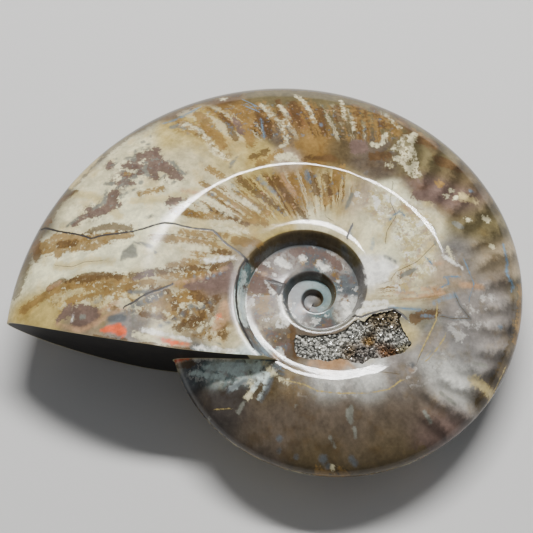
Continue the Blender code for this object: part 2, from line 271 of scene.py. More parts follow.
def endFace(points, numbers):
    # The face between the last whorl's edge and the older whorl that comes out from under it
    firstOpen = (mesh["turns"] - 1) * mesh["stepsATurn"]
    upper, lower = numbers[1], numbers[-1]
    upperSeam, lowerSeam = (sum(mesh["columns"][side][:2]) for side in (1, -1))
    edge = upper[-1].tolist() + lower[-1][:-1][::-1].tolist()
    edge += lower[firstOpen, lowerSeam + 1:-1].tolist() + upper[firstOpen, upperSeam + 1:][::-1].tolist()
    offsets = points[edge] - tipPoint
    flat = np.stack([offsets @ cutAlong, points[edge][:, 2]], 1)
    endOutline.extend(map(tuple, flat))
    inner, halfHeight = [], mesh["cutHalfHeight"]
    for distance in np.arange(mesh["cutSpacing"], coil["cutLength"], mesh["cutSpacing"]):
        for height in np.arange(-halfHeight, halfHeight, mesh["cutSpacing"]):
            spot = np.array([distance, height])
            if np.abs(flat - spot).max(1).min() > mesh["cutEdge"]:
                inner.append(spot)
    spots, triangles, sources = filledOutline(flat, inner)
    flatInward = np.array([cutInward[0], cutInward[1], 0.0])
    vertices, extra, faces = {}, [], []
    for triangle in triangles:
        for spot in triangle:
            if spot not in vertices:
                onEdge = [source for source in sources[spot] if source < len(edge)]
                x, z = spots[spot]
                place = tipPoint + cutAlong * x - flatInward * (cutBow(x) + z * cutInward[2])
                vertices[spot] = edge[onEdge[0]] if onEdge else len(points) + len(extra)
                if not onEdge:
                    extra.append(place + np.array([0, 0, z]))
        faces.append([vertices[spot] for spot in triangle])
    return faces, np.concatenate([points, extra])


def newObject(name, data):
    thing = bpy.data.objects.new(name, data)
    bpy.context.scene.collection.objects.link(thing)
    return thing


# The broken-open chambers beside the umbilicus; a hollow is (x, y, radius, depth)
pocket = {
    "outline": [(-4.9, -11.0), (-5.4, -12.8), (-5.4, -14.8), (-4.7, -16.6), (-2.8, -17.4), (0.3, -17.7),
        (2.4, -18.2), (4.1, -17.8), (6.0, -17.4), (8.4, -18.3), (10.8, -18.9), (12.9, -17.5), (15.8, -17.4),
        (20.9, -16.1), (22.9, -13.9), (22.2, -12.5), (20.9, -10.0), (20.1, -7.5), (20.8, -6.2),
        (19.1, -5.0), (13.5, -6.2), (11.7, -7.9), (10.3, -7.3), (9.1, -7.9), (7.0, -10.0), (4.7, -11.0),
        (2.1, -11.3), (-1.5, -11.4)],
    "floor": 7.4, "top": 18.0, "edgeStep": 0.45, "edgeJitter": 0.13, "seed": 3,
    "hollows": [(12.4, -12.3, 2.2, 1.3), (16.4, -14.6, 2.4, 1.4), (7.4, -15, 2, 1), (18.2, -15.6, 1.2, 0.7)],
    "hollowCurve": 0.6,
}
restFlat = {"halfSide": 200.0, "depth": 12.0}


def steppedOutline(outline, step):
    # The outline's corners with even steps between them
    corners = np.array(outline)
    steps = []
    for start, end in zip(corners, np.roll(corners, -1, 0)):
        count = max(1, round(np.linalg.norm(end - start) / step))
        steps += [start + (end - start) * place / count for place in range(count)]
    return steps


def raggedOutline(chance):
    # The pocket's outline, slightly uneven as broken shell is
    jitter, steps = pocket["edgeJitter"], steppedOutline(pocket["outline"], pocket["edgeStep"])
    return [(x + chance.uniform(-jitter, jitter), y + chance.uniform(-jitter, jitter)) for x, y in steps]


def prism(name, outline, bottom, top, matrix):
    shape = bmesh.new()
    base = shape.faces.new([shape.verts.new((x, y, bottom)) for x, y in outline])
    pulled = bmesh.ops.extrude_face_region(shape, geom=[base])
    lifted = [item for item in pulled["geom"] if isinstance(item, bmesh.types.BMVert)]
    bmesh.ops.translate(shape, verts=lifted, vec=(0, 0, top - bottom))
    bmesh.ops.recalc_face_normals(shape, faces=shape.faces)
    bmesh.ops.transform(shape, matrix=matrix, verts=shape.verts)
    data = bpy.data.meshes.new(name)
    shape.to_mesh(data)
    shape.free()
    return newObject(name, data)


def cutAway(thing, cutter):
    modifier = thing.modifiers.new(cutter.name, "BOOLEAN")
    modifier.operation = "DIFFERENCE"
    modifier.solver = "EXACT"
    modifier.material_mode = "TRANSFER"
    modifier.object = cutter
    evaluated = thing.evaluated_get(bpy.context.evaluated_depsgraph_get())
    data = bpy.data.meshes.new_from_object(evaluated)
    thing.modifiers.clear()
    thing.data = data
    bpy.data.objects.remove(cutter)


def trianglesOf(data):
    return sum(len(face.vertices) - 2 for face in data.polygons)


def makeShell():
    points, numbers = shellGrid()
    faces, points = shellFaces(points, numbers)
    endFaces, points = endFace(points, numbers)
    data = bpy.data.meshes.new("polished_shell")
    data.from_pydata(points.tolist(), [], faces + endFaces)
    data.transform(coilToWorld)
    data.shade_smooth()
    shell = newObject("polished_shell", data)
    chance = random.Random(pocket["seed"])
    cutAway(shell, prism("pocketCutter", raggedOutline(chance), pocket["floor"], pocket["top"], coilToWorld))
    side = restFlat["halfSide"]
    square = [(-side, -side), (side, -side), (side, side), (-side, side)]
    cutAway(shell, prism("flatCutter", square, -restFlat["depth"], 0, Matrix.Scale(mm, 4)))
    shell.data.set_sharp_from_angle(angle=math.radians(mesh["sharpAngle"]))
    print("shell", len(shell.data.vertices), "points", trianglesOf(shell.data), "triangles")
    return shell


# The crystals that line the pocket: their tips lie "below" the flank, and "lean" is how far most of them lean
crystals = {
    "seed": 5, "spacing": 0.31, "tries": 60000, "edge": 0.25, "below": (0.1, 0.9), "lean": 20.4,
    "sides": 6, "radius": (0.16, 0.46), "smallness": 2.2, "stretch": (0.75, 1.25), "length": 1.6,
    "point": (0.5, 1.1), "shift": 0.5,
    "shade": (0.28, 2.0), "shadeCurve": 2.2,
    "roughness": 0.12, "ior": 1.6, "coat": 0.6, "coatRoughness": 0.05,
}
# What they stand on: how far below the flank it is, how far it goes under the pocket's rim, how bumpy it is
bed = {"below": 1.9, "gap": 0.3, "step": 0.6, "tries": 6000, "bumps": 0.25, "hollow": 0.8, "tint": 0.3}
crystalGrounds = [
    (-4, -13, "pearl", 2.5), (-3, -16, "pearl", 2.5), (1, -13, "pearl", 2), (2, -16.5, "pearl", 2.5),
    (6, -12, "pearl", 2.5), (7.5, -15.2, "gold", 1.5), (5, -15, "pearl", 2), (9.5, -10, "pearl", 1.5),
    (10, -16.5, "lilac", 2), (12.7, -12.3, "gold", 1.2), (14, -8.5, "sand", 2), (18, -8, "sand", 2),
    (12, -9.5, "pearl", 1.5), (17, -11.5, "pearl", 2), (20.5, -12.5, "pearl", 1.8),
    (16.5, -14.6, "rust", 1.4), (18.2, -15.6, "rust", 1), (13.5, -16.3, "lilac", 1.6),
    (21, -15, "beige", 1.2),
]


def upperFlank(x, y):
    # Height of the last whorl's upper flank, for places between the cut and growth angle 180
    angle = np.arctan2(y, x)
    return halfThickness(angle) * flankShare(np.clip(reachOf(np.hypot(x, y), angle), 0, 1), angle)


def insideOutline(outline, spots):
    inside = np.zeros(len(spots), bool)
    for (ax, ay), (bx, by) in zip(outline, np.roll(outline, -1, 0)):
        crosses = (ay > spots[:, 1]) != (by > spots[:, 1])
        with np.errstate(divide="ignore", invalid="ignore"):
            inside ^= crosses & (spots[:, 0] < ax + (spots[:, 1] - ay) * (bx - ax) / (by - ay))
    return inside


def alongLine(start, end, spots):
    # How far along a line each spot lies, as a share of its length, and how far from it
    along = end - start
    share = np.clip((spots - start) @ along / (along @ along), 0, 1)
    return share, np.linalg.norm(spots - start - share[:, None] * along, axis=1)


def outlineDistance(outline, spots):
    outline = np.asarray(outline, float)
    nearest = np.full(len(spots), np.inf)
    for start, end in zip(outline, np.roll(outline, -1, 0)):
        nearest = np.minimum(nearest, alongLine(start, end, spots)[1])
    return nearest


def scattered(generator, outline, spacing, tries, edge):
    # Random places inside an outline, none nearer to another than the spacing
    spots = generator.uniform(outline.min(0), outline.max(0), (tries, 2))
    spots = spots[insideOutline(outline, spots)]
    spots = spots[outlineDistance(outline, spots) > edge]
    taken, kept, around = {}, [], [(dx, dy) for dx in (-1, 0, 1) for dy in (-1, 0, 1)]
    for x, y in spots:
        column, row = int(x // spacing), int(y // spacing)
        near = [other for dx, dy in around for other in taken.get((column + dx, row + dy), [])]
        if all((x - a) ** 2 + (y - b) ** 2 > spacing**2 for a, b in near):
            taken.setdefault((column, row), []).append((x, y))
            kept.append((x, y))
    return np.array(kept)


def hollowDepth(spots):
    depth = np.zeros(len(spots))
    for x, y, radius, deep in pocket["hollows"]:
        nearness = 1 - np.hypot(spots[:, 0] - x, spots[:, 1] - y) / radius
        depth = np.maximum(depth, deep * np.clip(nearness, 0, 1) ** pocket["hollowCurve"])
    return depth


def crystalShapes(generator, spots):
    # Crystals with pointed ends, leaning every way
    count, sides, length = len(spots), crystals["sides"], crystals["length"]
    least, most = crystals["radius"]
    radius = least + (most - least) * generator.random(count) ** crystals["smallness"]
    turned = generator.uniform(0, turn, (count, 1)) + np.arange(sides) * turn / sides
    stretch = generator.uniform(*crystals["stretch"], (count, sides))
    ring = np.stack([np.cos(turned), np.sin(turned)], -1) * (radius[:, None] * stretch)[..., None]
    pointHeight = radius * generator.uniform(*crystals["point"], count)
    offset = generator.uniform(-1, 1, (count, 2)) * (radius * crystals["shift"])[:, None]
    local = np.zeros((count, 2 * sides + 1, 3))
    local[:, :sides, :2] = ring
    local[:, :sides, 2] = -length
    local[:, sides:-1, :2] = ring
    local[:, sides:-1, 2] = -pointHeight[:, None]
    local[:, -1, :2] = offset
    leans = np.radians(crystals["lean"]) * generator.normal(0, 1, (count, 2))
    sx, sy = np.sin(leans[:, :1]), np.sin(leans[:, 1:])
    cx, cy = np.cos(leans[:, :1]), np.cos(leans[:, 1:])
    x, y, z = local[..., 0], local[..., 1], local[..., 2]
    y, z = y * cx - z * sx, y * sx + z * cx
    x, z = x * cy + z * sy, -x * sy + z * cy
    tips = upperFlank(spots[:, 0], spots[:, 1]) - hollowDepth(spots)
    tips -= generator.uniform(*crystals["below"], count)
    points = np.stack([x + spots[:, :1], y + spots[:, 1:], z + tips[:, None]], -1).reshape(-1, 3)
    faces = []
    for side in range(sides):
        after = (side + 1) % sides
        faces.append([side, after, sides + after, sides + side])
        faces.append([sides + side, sides + after, 2 * sides])
    corners = 2 * sides + 1
    faces = [[corner + shape * corners for corner in face] for shape in range(count) for face in faces]
    return points, faces, np.repeat(generator.random(count), corners)


def crystalBed(generator):
    # What the crystals stand on: it reaches a little under the pocket's rim and down to its floor
    rim = np.array(steppedOutline(pocket["outline"], bed["step"]))
    across = (np.roll(rim, -1, 0) - np.roll(rim, 1, 0))[:, ::-1] * (-1, 1)
    rim += across / np.linalg.norm(across, axis=1)[:, None] * bed["gap"]
    inner = scattered(generator, rim, bed["step"], bed["tries"], bed["step"] / 2)
    spots, triangles, _ = filledOutline(rim, inner)
    spots = np.array([tuple(spot) for spot in spots])
    height = upperFlank(spots[:, 0], spots[:, 1]) - bed["below"] - hollowDepth(spots) * bed["hollow"]
    height += generator.uniform(-1, 1, len(spots)) * bed["bumps"]
    top = np.column_stack([spots, height])
    under = top[:len(rim)].copy()
    under[:, 2] = pocket["floor"] + bed["gap"]
    faces = [list(triangle) for triangle in triangles]
    for first in range(len(rim)):
        second = (first + 1) % len(rim)
        faces.append([second, first, len(top) + first, len(top) + second])
    faces.append([len(top) + first for first in range(len(rim))][::-1])
    return np.concatenate([top, under]), faces


def makeCrust():
    generator = np.random.default_rng(crystals["seed"])
    bedPoints, faces = crystalBed(generator)
    outline = np.array(pocket["outline"])
    places = scattered(generator, outline, crystals["spacing"], crystals["tries"], crystals["edge"])
    points, crystalFaces, tints = crystalShapes(generator, places)
    faces += [[corner + len(bedPoints) for corner in face] for face in crystalFaces]
    points = np.concatenate([bedPoints, points])
    data = bpy.data.meshes.new("crystal_druse")
    data.from_pydata(points.tolist(), [], faces)
    addValues(data, "tint", np.concatenate([np.full(len(bedPoints), bed["tint"]), tints]))
    addColours(data, "ground", blended(crystalGrounds, points[:, :2]))
    data.transform(coilToWorld)
    crust = newObject("crystal_druse", data)
    print("crystals", len(places), "triangles", trianglesOf(data))
    data.materials.append(crystalMaterial())
    return crust


# Colours of the shell, the nacre and what shows through them; where noted, a tone or stroke is painted light
# or shade
tones = {
    "white": (0.84, 0.82, 0.74), "ivory": (0.76, 0.72, 0.46), "cream": (0.66, 0.60, 0.37),
    "pearl": (0.50, 0.49, 0.44), "beige": (0.52, 0.45, 0.26), "straw": (0.49, 0.39, 0.17),
    "honey": (0.41, 0.31, 0.10), "tan": (0.36, 0.28, 0.19), "gold": (0.22, 0.13, 0.038),
    "sand": (0.23, 0.18, 0.11), "rust": (0.19, 0.09, 0.035), "brown": (0.09, 0.05, 0.02),
    "olive": (0.115, 0.092, 0.042), "umber": (0.095, 0.068, 0.032), "warm": (0.105, 0.080, 0.056),
    "mauve": (0.13, 0.085, 0.068), "dusk": (0.05, 0.042, 0.036), "night": (0.028, 0.023, 0.020),
    "lilac": (0.23, 0.205, 0.18), "ash": (0.165, 0.155, 0.145), "grey": (0.165, 0.165, 0.135),
    # aqua is painted light: much lighter than the scar's own colour, to make up for the shade the ground end
    # casts on it
    "slate": (0.09, 0.10, 0.105), "teal": (0.13, 0.20, 0.20), "aqua": (0.66, 0.78, 0.73),
    "blue": (0.11, 0.19, 0.26), "salmon": (0.42, 0.25, 0.13), "fire": (0.72, 0.11, 0.035),
}

# The ground colour blends from spot to spot: (x, y, tone, how far it spreads)
grounds = [
    (-66, 8, "ivory", 5), (-58, 8, "ivory", 5), (-50, 5, "ivory", 4), (-48, 20, "ivory", 6),
    (-60, 24, "cream", 5), (-55, 33, "cream", 5), (-47, 42, "cream", 5), (-40, 28, "cream", 6),
    (-33, 36, "beige", 5), (-36, 44, "honey", 4), (-34, 21, "ivory", 4), (-44, 0, "straw", 3),
    (-56, -1, "straw", 4), (-66, -3, "honey", 4), (-37, -5, "honey", 3), (-38, 8, "cream", 4),
    (-28, 9, "beige", 3.5), (-33, -3, "gold", 4), (-26, 1, "mauve", 3), (-29, -9, "sand", 4),
    (-22, -7, "sand", 3), (-22, -14, "beige", 3), (-43, -9, "lilac", 3), (-57, -7, "sand", 3),
    # the dusk and night spots at the venter, here and at (50, -7) and (46, -18), are partly painted shade
    # that darkens the rim
    (-36, -13, "cream", 3), (-72, 12, "warm", 3), (-69, 22, "dusk", 3), (-65, 29, "umber", 3),
    (-58, 40, "dusk", 3), (-47, 50, "night", 3), (-36, 55, "brown", 3), (-24, 58, "brown", 3),
    (-28, 46, "honey", 5), (-20, 50, "gold", 4), (-14, 47, "brown", 3), (-22, 38, "straw", 4),
    (-11, 58, "olive", 4), (4, 56, "olive", 5), (-3, 50, "rust", 3), (0, 41, "gold", 4),
    (11, 53, "olive", 4), (9, 46, "umber", 4), (15, 39, "warm", 4), (6, 39, "umber", 3),
    (20, 50, "olive", 4), (-8, 43, "warm", 3), (-7, 36, "tan", 2.5), (-14, 37, "honey", 3),
    (30, 40, "olive", 5), (36, 34, "umber", 4), (31, 27, "mauve", 4), (36, 26, "mauve", 4),
    (40, 18, "olive", 5), (42, 9, "sand", 4), (37, 10, "ash", 4), (44, -1, "lilac", 5),
    (42, -11, "lilac", 5), (36, -14, "ash", 5), (46, 4, "warm", 3), (49, 12, "sand", 3),
    (51, 2, "olive", 3), (50, -7, "dusk", 3), (46, -18, "dusk", 3), (32, -22, "pearl", 5),
    (40, -24, "warm", 3), (24, -28, "warm", 5), (12, -33, "warm", 6), (0, -31, "warm", 6),
    (-12, -33, "warm", 6), (-22, -30, "dusk", 4), (-27, -26, "dusk", 3), (0, -41, "umber", 5),
    (15, -39, "umber", 5), (30, -33, "mauve", 5), (2, -24.5, "pearl", 3), (12, -24.5, "pearl", 3),
    (-5, -24, "sand", 2.5), (21, -23.5, "lilac", 3), (3, -19.3, "salmon", 2), (12, -19.5, "pearl", 2),
    # the two aqua spots on the scar under the ground end are painted light, lighter than the scar to make up
    # for the shade there
    (-24, -19.5, "aqua", 2.4), (-29, -19, "slate", 3), (-17, -19.5, "aqua", 2.4), (-19, -26, "dusk", 3),
    (-12, -25, "umber", 3), (20, 20, "ivory", 4), (14, 21, "cream", 3), (22, 14, "ivory", 4),
    (27, 18, "cream", 4), (15, 14, "cream", 2.5), (16, 4, "white", 3), (17, 0, "beige", 2.5),
    (23, -1, "beige", 3), (29, -1, "sand", 3), (26, -8, "grey", 3), (22.8, -11, "straw", 2),
    (28, -13, "lilac", 3), (25, 7, "ivory", 3), (32, 5, "tan", 3), (34, -5, "lilac", 3),
    (-14, 24, "honey", 4), (-24, 22, "cream", 4), (-30, 18, "straw", 3), (-5, 26, "gold", 4),
    (5, 25, "straw", 4), (0, 19, "cream", 3), (-10, 18, "honey", 3), (-22, 13, "straw", 3),
    (-19, 9, "sand", 2.5), (10, 24, "tan", 3), (-20, 0, "mauve", 2), (-20.5, -6, "mauve", 2),
    (8, 17, "beige", 2.5),
]
# The umbilical walls
wallGrounds = [
    (-5, 14.6, "umber", 2), (3, 14.5, "umber", 2), (9, 9.5, "olive", 2), (11.5, 4, "ash", 2),
    (-13, 10, "umber", 2), (-16.5, 3, "teal", 1.6), (-17, -5, "aqua", 1.6), (-15, -12, "slate", 1.6),
    (-12.5, -17, "slate", 1.6), (-2, 5.3, "ash", 1.6), (4.5, 3.5, "umber", 1.6), (-6, 1, "slate", 1.6),
]
# The whorls inside the last one
olderGrounds = [
    (-12, 3, "mauve", 2.5), (-13, -4, "sand", 2.5), (-9, -3, "lilac", 2), (-10, -10, "tan", 2.5),
    (-8, -15, "pearl", 2), (-7, 8.5, "lilac", 2.2), (0, 10, "slate", 2.2), (5, 7.5, "lilac", 2),
    (7.8, 2.5, "slate", 1.8), (7, -3, "pearl", 2), (-5, -13, "tan", 2), (2, -8, "slate", 2),
    (-3, -8, "lilac", 2), (0, 3.4, "teal", 2), (-2, 0, "slate", 2.2), (2, -3, "teal", 2), (2, 1, "teal", 2),
    (-4, -4, "slate", 1.6),
]


def alongRim(first, last, share, width):
    # A stroke along the venter, from one growth angle to another
    step = 6
    bearings = np.radians(np.arange(first, last + 1, step))
    radii = share * venterRadius(bearings)
    return [(r * math.cos(a), r * math.sin(a), width) for r, a in zip(radii, bearings)]


# What lies over the ground: chains of (x, y, half width), the lower kinds first. Where a chain's points
# leave out the width, it is the kind's own. "rag" is how far noise frays the edge, "soft" how blurred it is.
marks = {
    "umber": {"width": 0.8, "rag": 2.2, "soft": 0.5, "strength": 0.85, "chains": [
        # the three strokes along the venter darken the rim: partly its own dark edge, partly painted shade
        # that stands for the dark the glossy rim reflects
        alongRim(64, 178, 0.983, 1.7), alongRim(-34, -4, 0.985, 1.4), alongRim(-92, -52, 0.985, 0.9),
        [(-66, 28, 1), (-62, 30)], [(24, 50, 1.5), (32, 42, 1.6)],
    ]},
    "straw": {"width": 0.9, "rag": 2.0, "soft": 0.7, "strength": 0.75, "chains": [
        [(-64, 7.5), (-60, 6.5), (-57, 7.5), (-52, 7.3), (-50, 7)],
        [(-57, 41.5, 1.4), (-60, 37, 1.2), (-63, 33, 1)], [(-63, -1, 1.6), (-57, -1, 1.4), (-52, -2, 1.2)],
        [(-45, 24), (-38, 24), (-30, 26)], [(-38, 46, 0.7), (-33, 42, 0.6), (-28, 37, 0.5)],
        [(-49, 20), (-56, 27), (-61, 29)], [(38, 27), (41, 26.5, 0.6)], [(28.5, 23.5, 1)],
        [(38, -22), (44, -24, 0.7)], [(20, 20, 0.5), (18, 16, 0.6), (17.5, 13, 0.5)],
        [(29.5, 12, 0.4), (25, 7.5, 0.5), (20, 5, 0.4), (18.5, 3, 0.4)],
    ]},
    "gold": {"width": 0.8, "rag": 2.3, "soft": 0.35, "strength": 0.9, "chains": [
        [(-70, 13.5, 1.6), (-62, 13.5, 2.1), (-55, 13, 1.8), (-50, 14, 1), (-46, 14)],
        [(-40, 13.2, 0.7), (-35, 12.7, 0.9), (-25, 11.5, 0.9)], [(-64, 11, 0.9)], [(-55, 11.5, 1)],
        [(-66, 0, 1), (-60, 1.8, 1.3), (-50, 2, 1.3), (-46, 1.6, 1)],
        [(-72, -3), (-68, -1, 0.9), (-65, 1, 0.9)], [(-60, -3), (-54, -2, 0.6), (-50, -1)],
        [(-66, 16.5, 0.6), (-61, 15.2, 0.9), (-57, 13.6)], [(-56, 0.5), (-47, -0.5, 0.9), (-40, 1)],
        [(-48, -3.4), (-42, -6, 0.7)], [(-30, 9, 0.5), (-22, 9.4, 0.6)], [(-33, 14.4, 0.6), (-22, 14, 0.6)],
        [(-44, 26, 0.5), (-38, 27.5, 0.6)], [(-27, 33, 0.7), (-23, 30, 0.6)], [(-14, 33.5, 0.7), (-8, 38)],
        [(17, 53), (22, 46, 0.9)], [(26, 49, 0.7), (30, 45, 0.7)], [(-36, 6, 0.9), (-28, 6.2, 0.7)],
        [(-38, 3), (-28, 3.4, 0.7)], [(-39, -3, 2), (-34, -5, 2.4), (-31, -3, 1.5)], [(-47.5, 32.5)],
        [(-30, 52, 1.2), (-26, 45, 1.6), (-23, 40, 1)], [(-17, 53, 1.3), (-17, 45, 1.3), (-16, 40)],
        [(-36, 20.5, 0.7), (-30, 19.5, 0.7), (-22, 19), (-12, 17, 0.6)], [(-20, 12.5, 1), (-14, 12)],
        [(-20, 26), (-12, 20.5)], [(-22, 24, 0.6), (-12, 17.5, 0.6)], [(-28, 28, 0.7), (-22, 24, 0.5)],
        [(-3, 40, 1.3), (2, 41.5, 1.2)], [(32, 30, 1)], [(52, 4), (51.5, -3, 0.7), (49.5, -10, 0.7)],
        [(3, 24), (5, 29, 1.2), (7, 33, 1)], [(-13, -4, 1.2), (-12.4, -1, 0.7)], [(-3, 9, 0.7)],
        [(0.5, 8.6, 0.5)], [(5, 5.6, 0.5)], [(23.3, 4.7)], [(0, -43, 0.5), (7, -43.5, 0.4)],
    ]},
    "brown": {"width": 0.5, "rag": 2.0, "soft": 0.3, "strength": 0.85, "chains": [
        [(-57, 16, 0.6), (-52, 17.2, 0.9), (-46, 15.9, 0.6)], [(-64, 13.6, 0.7), (-60, 13.2, 0.8)],
        [(-66, 1), (-63, 3.1), (-60, 2.8), (-56, 3.8), (-52, 3.4, 0.6), (-48, 2.6)],
        [(-45, 2.7, 0.7), (-40, 3.5, 0.7), (-34, 4.4), (-28, 4.9), (-24, 5.7), (-21, 6.4)],
        [(-71, 16, 0.9), (-69.5, 11, 0.9)], [(-67, 28, 0.7), (-61, 30)], [(-68, 22, 0.7)],
        [(-22, 48, 0.8), (-20, 42, 0.6)], [(-14, 52, 1), (-12.5, 48, 1.3), (-11.5, 43, 1)],
        [(-5, 55, 1), (-4, 47, 1.2)], [(6.5, 54, 0.8), (6.8, 49, 0.7)], [(11.5, 55, 1), (12, 50, 0.7)],
        [(16.5, 55, 0.8), (18.5, 48, 0.9)], [(-19, 29.5, 0.6), (-14, 25.5, 0.7), (-8, 21, 0.6)],
        [(-10, 30, 0.8), (-6, 24, 0.8), (-2, 18.8)], [(-1, 31, 0.8), (1, 26, 0.8)],
        [(-36, -1), (-34, -5, 0.6), (-31, -8, 0.6)], [(-33, -11, 1), (-28, -9, 1)],
        [(-26, -6, 0.8), (-24, -3, 0.6)], [(-53, -13.3), (-46, -14.6)], [(-42, -15.4), (-30, -17)],
        [(24, -7, 1.2), (29, -6, 1)], [(-42, -7.5, 0.6), (-37, -8.5, 0.7)], [(-40, -0.5), (-35, -1.5, 0.6)],
        [(-30, -1.5, 0.7), (-27, -4, 0.6)], [(-58, 2.2), (-53, 2.6)], [(-26, 9.6, 0.4), (-21, 9, 0.4)],
        [(-24, 51, 0.7), (-21, 46, 0.8)], [(-9, 56, 0.7), (-8.6, 50.5, 0.6)], [(2, 53, 0.8), (3, 45, 0.7)],
        [(22, 54, 0.7), (26, 48, 0.7)], [(-16, 36, 0.6), (-12, 38, 0.7)],
        [(-24, 20.5, 0.4), (-17, 17, 0.4)], [(3, 31), (4, 26)], [(15, 37, 1), (19, 38, 1.2)],
        [(-6, -9), (-5, -17, 0.6)], [(25, 45, 1.6), (32, 44, 1.5)], [(33, 38, 1.8), (38, 36, 1)],
        [(-2, 35.8, 0.7), (5, 36, 0.7)], [(29.5, -0.3)], [(21, 4)],
    ]},
    "mauve": {"width": 0.5, "rag": 2.4, "soft": 0.25, "strength": 0.95, "chains": [
        [(-45.2, 38.7, 0.8), (-43, 38.5, 1.3), (-41, 39, 1.3), (-40.5, 40.5, 0.6)],
        [(-41.5, 36.5, 1), (-41.5, 34, 1.3), (-40.3, 31, 0.9)],
        [(-40, 37.5, 0.8), (-38.8, 34.5, 1.4), (-37, 33, 1.1), (-35, 31, 1.2), (-33.5, 30)],
        [(-49, 35.9), (-46, 34.8, 0.9), (-44, 35)], [(-43.6, 33.3, 0.7), (-45.5, 32.5, 0.6)],
        [(-50, 30.3, 0.7), (-48, 30.5, 1.4), (-46, 29.7)], [(-52.5, 37.5, 0.7), (-53, 36)],
        [(-50.5, 27.5, 1), (-51, 25.5, 1.4), (-51.5, 23, 1.3), (-53.5, 21.7, 1.1), (-56, 21.5, 1),
         (-58.5, 21, 0.8), (-60.5, 19.2, 0.8)], [(-57, 23, 0.7)], [(-49.5, 23, 0.6)],
        [(-36, 23, 1.1), (-34, 23.3, 0.7)], [(-45, 37), (-47.5, 37)],
        [(-62.5, -7.4), (-60.3, -5.4, 1.3), (-57.5, -5.8, 2), (-54.5, -7.3, 2.2), (-52.8, -7.3, 0.8)],
        [(-58, -9, 1.2), (-55, -9.4, 1)], [(-44, 2, 0.6), (-40, 3.2, 0.6)],
        [(-31, 0, 0.9), (-26, 1, 1.3), (-22, 2.5, 1.5), (-21, 5, 0.8)], [(26, 26, 1.3), (33, 25.5, 1.2)],
        [(11.5, 40, 2.2)], [(-20.5, 49, 0.6), (-18.5, 44)], [(-12, 2.5, 1.5), (-14.5, 1.5, 1.2)],
        [(-5, 11.4, 0.9), (-1, 11.8, 0.9)], [(3, 10.6, 0.7), (6, 7.6, 0.8)],
    ]},
    "grey": {"width": 0.4, "rag": 0.7, "soft": 0.3, "strength": 0.9, "chains": [
        [(-47.5, 7.2, 0.5), (-46.3, 9, 1.2), (-45, 10.4, 0.9), (-44.6, 8.2, 0.8)],
        [(-45, 11.7, 0.35), (-42, 11.3, 0.35), (-40.3, 10.2, 0.35)], [(-39.3, 8.7)], [(-37.3, 8, 0.35)],
        [(-35.7, 8.3, 0.35)], [(-53.3, 30.7, 0.5), (-51.5, 30.3, 0.6)], [(-44, 29.7, 0.6)],
        [(-49, 26, 0.3), (-46, 27.5), (-44.5, 28, 0.3)], [(-42, 18.7, 0.3), (-40, 19.3)], [(-37.5, 22.5)],
        [(-44.3, 43.7, 0.5)], [(-42.7, 42.5, 0.5)], [(-44.5, 41.5)], [(-42.5, 45.5)], [(-51, 38.8)],
        [(-48.5, 38.5, 0.5), (-46.7, 38.3)], [(-37, 48, 0.6), (-35, 48.3, 0.7), (-33, 47.2, 0.6)],
        [(-32.5, 45)], [(-46, 41, 0.3), (-46.2, 37.2)], [(-42.8, 36, 0.3), (-43.2, 33.8), (-42, 31.5, 0.3)],
        [(-36, 35.5), (-34.5, 33), (-32.5, 31, 0.3)], [(-52.8, 28.5), (-53.2, 24.5, 0.5), (-56, 23, 0.3)],
        [(-60, 20.8), (-62.5, 18.8)], [(-49.3, 29, 0.3), (-46.5, 31.5)], [(-39, 30), (-37.5, 31.5, 0.3)],
        [(-56.5, -7.6, 0.7)], [(-54, -2.5, 0.35), (-53.6, -4, 0.35)],
        [(-52, -2.5, 0.35), (-51.6, -4, 0.35)], [(-42.5, 0.3)], [(-44, -7, 0.35), (-43.6, -11, 0.35)],
        [(-25.8, -14.5)], [(-23, -15.3, 0.35)], [(8, 22, 0.5), (9.5, 26, 0.5)],
        [(21.5, 4, 0.5), (24.5, 5.5, 0.5)], [(35, 18.5, 0.6), (37, 17.5, 0.5)], [(29.5, 17), (30, 12, 0.3)],
        [(38, -17.8, 0.3), (41, -17.9, 0.25)], [(29.5, -25.5, 0.3), (33, -27.5)],
        [(-21, 34), (-19.5, 36, 0.3)], [(8, -29.3, 0.5), (7.5, -31, 0.8), (8, -32.8, 0.5)],
        [(8.7, -34, 0.3), (9, -36, 0.3)], [(3, -36, 0.3), (4, -38, 0.35)],
        [(-18.7, -29.5), (-17.5, -27.5, 0.35)], [(-5, -29, 0.3)], [(-26, -30, 0.3)],
        [(25.5, -30, 0.3), (27, -32)],
    ]},
    "cream": {"width": 0.35, "rag": 1.6, "soft": 0.35, "strength": 0.8, "chains": [
        [(20.2, 40, 0.6), (22.5, 41, 1.2), (25, 44, 1.6), (26.8, 46.5, 0.7)],
        [(24.5, 40, 1.8), (24.5, 36, 2.2), (25.6, 32.5, 1.3)],
        [(15, 41.3, 0.5), (16.5, 40.5, 0.4), (18, 42, 0.4), (19, 45, 0.4)], [(19.5, 34.5, 0.7)],
        [(21.5, 37, 0.9)], [(-34, 49, 0.6), (-30, 46, 0.6), (-27, 42, 0.6), (-25, 38, 0.6), (-22, 36, 0.5)],
        [(-13.5, 54.5), (-12, 52), (-11, 49.5)], [(-8.5, 54), (-7, 51), (-6.5, 48), (-6.3, 46.8)],
        [(-8.5, 48.5), (-7.5, 47), (-8, 45), (-7.3, 44), (-6.5, 42.5), (-7, 40.5), (-8.3, 39.5)],
        [(-9, 36, 0.8), (-6.5, 36.5, 1), (-4.8, 35, 0.7)],
        [(-4, 58.5, 0.3), (-2, 55.5, 0.3), (-0.5, 52), (0.3, 48, 0.3)], [(8, 57, 0.3), (8.3, 50, 0.3)],
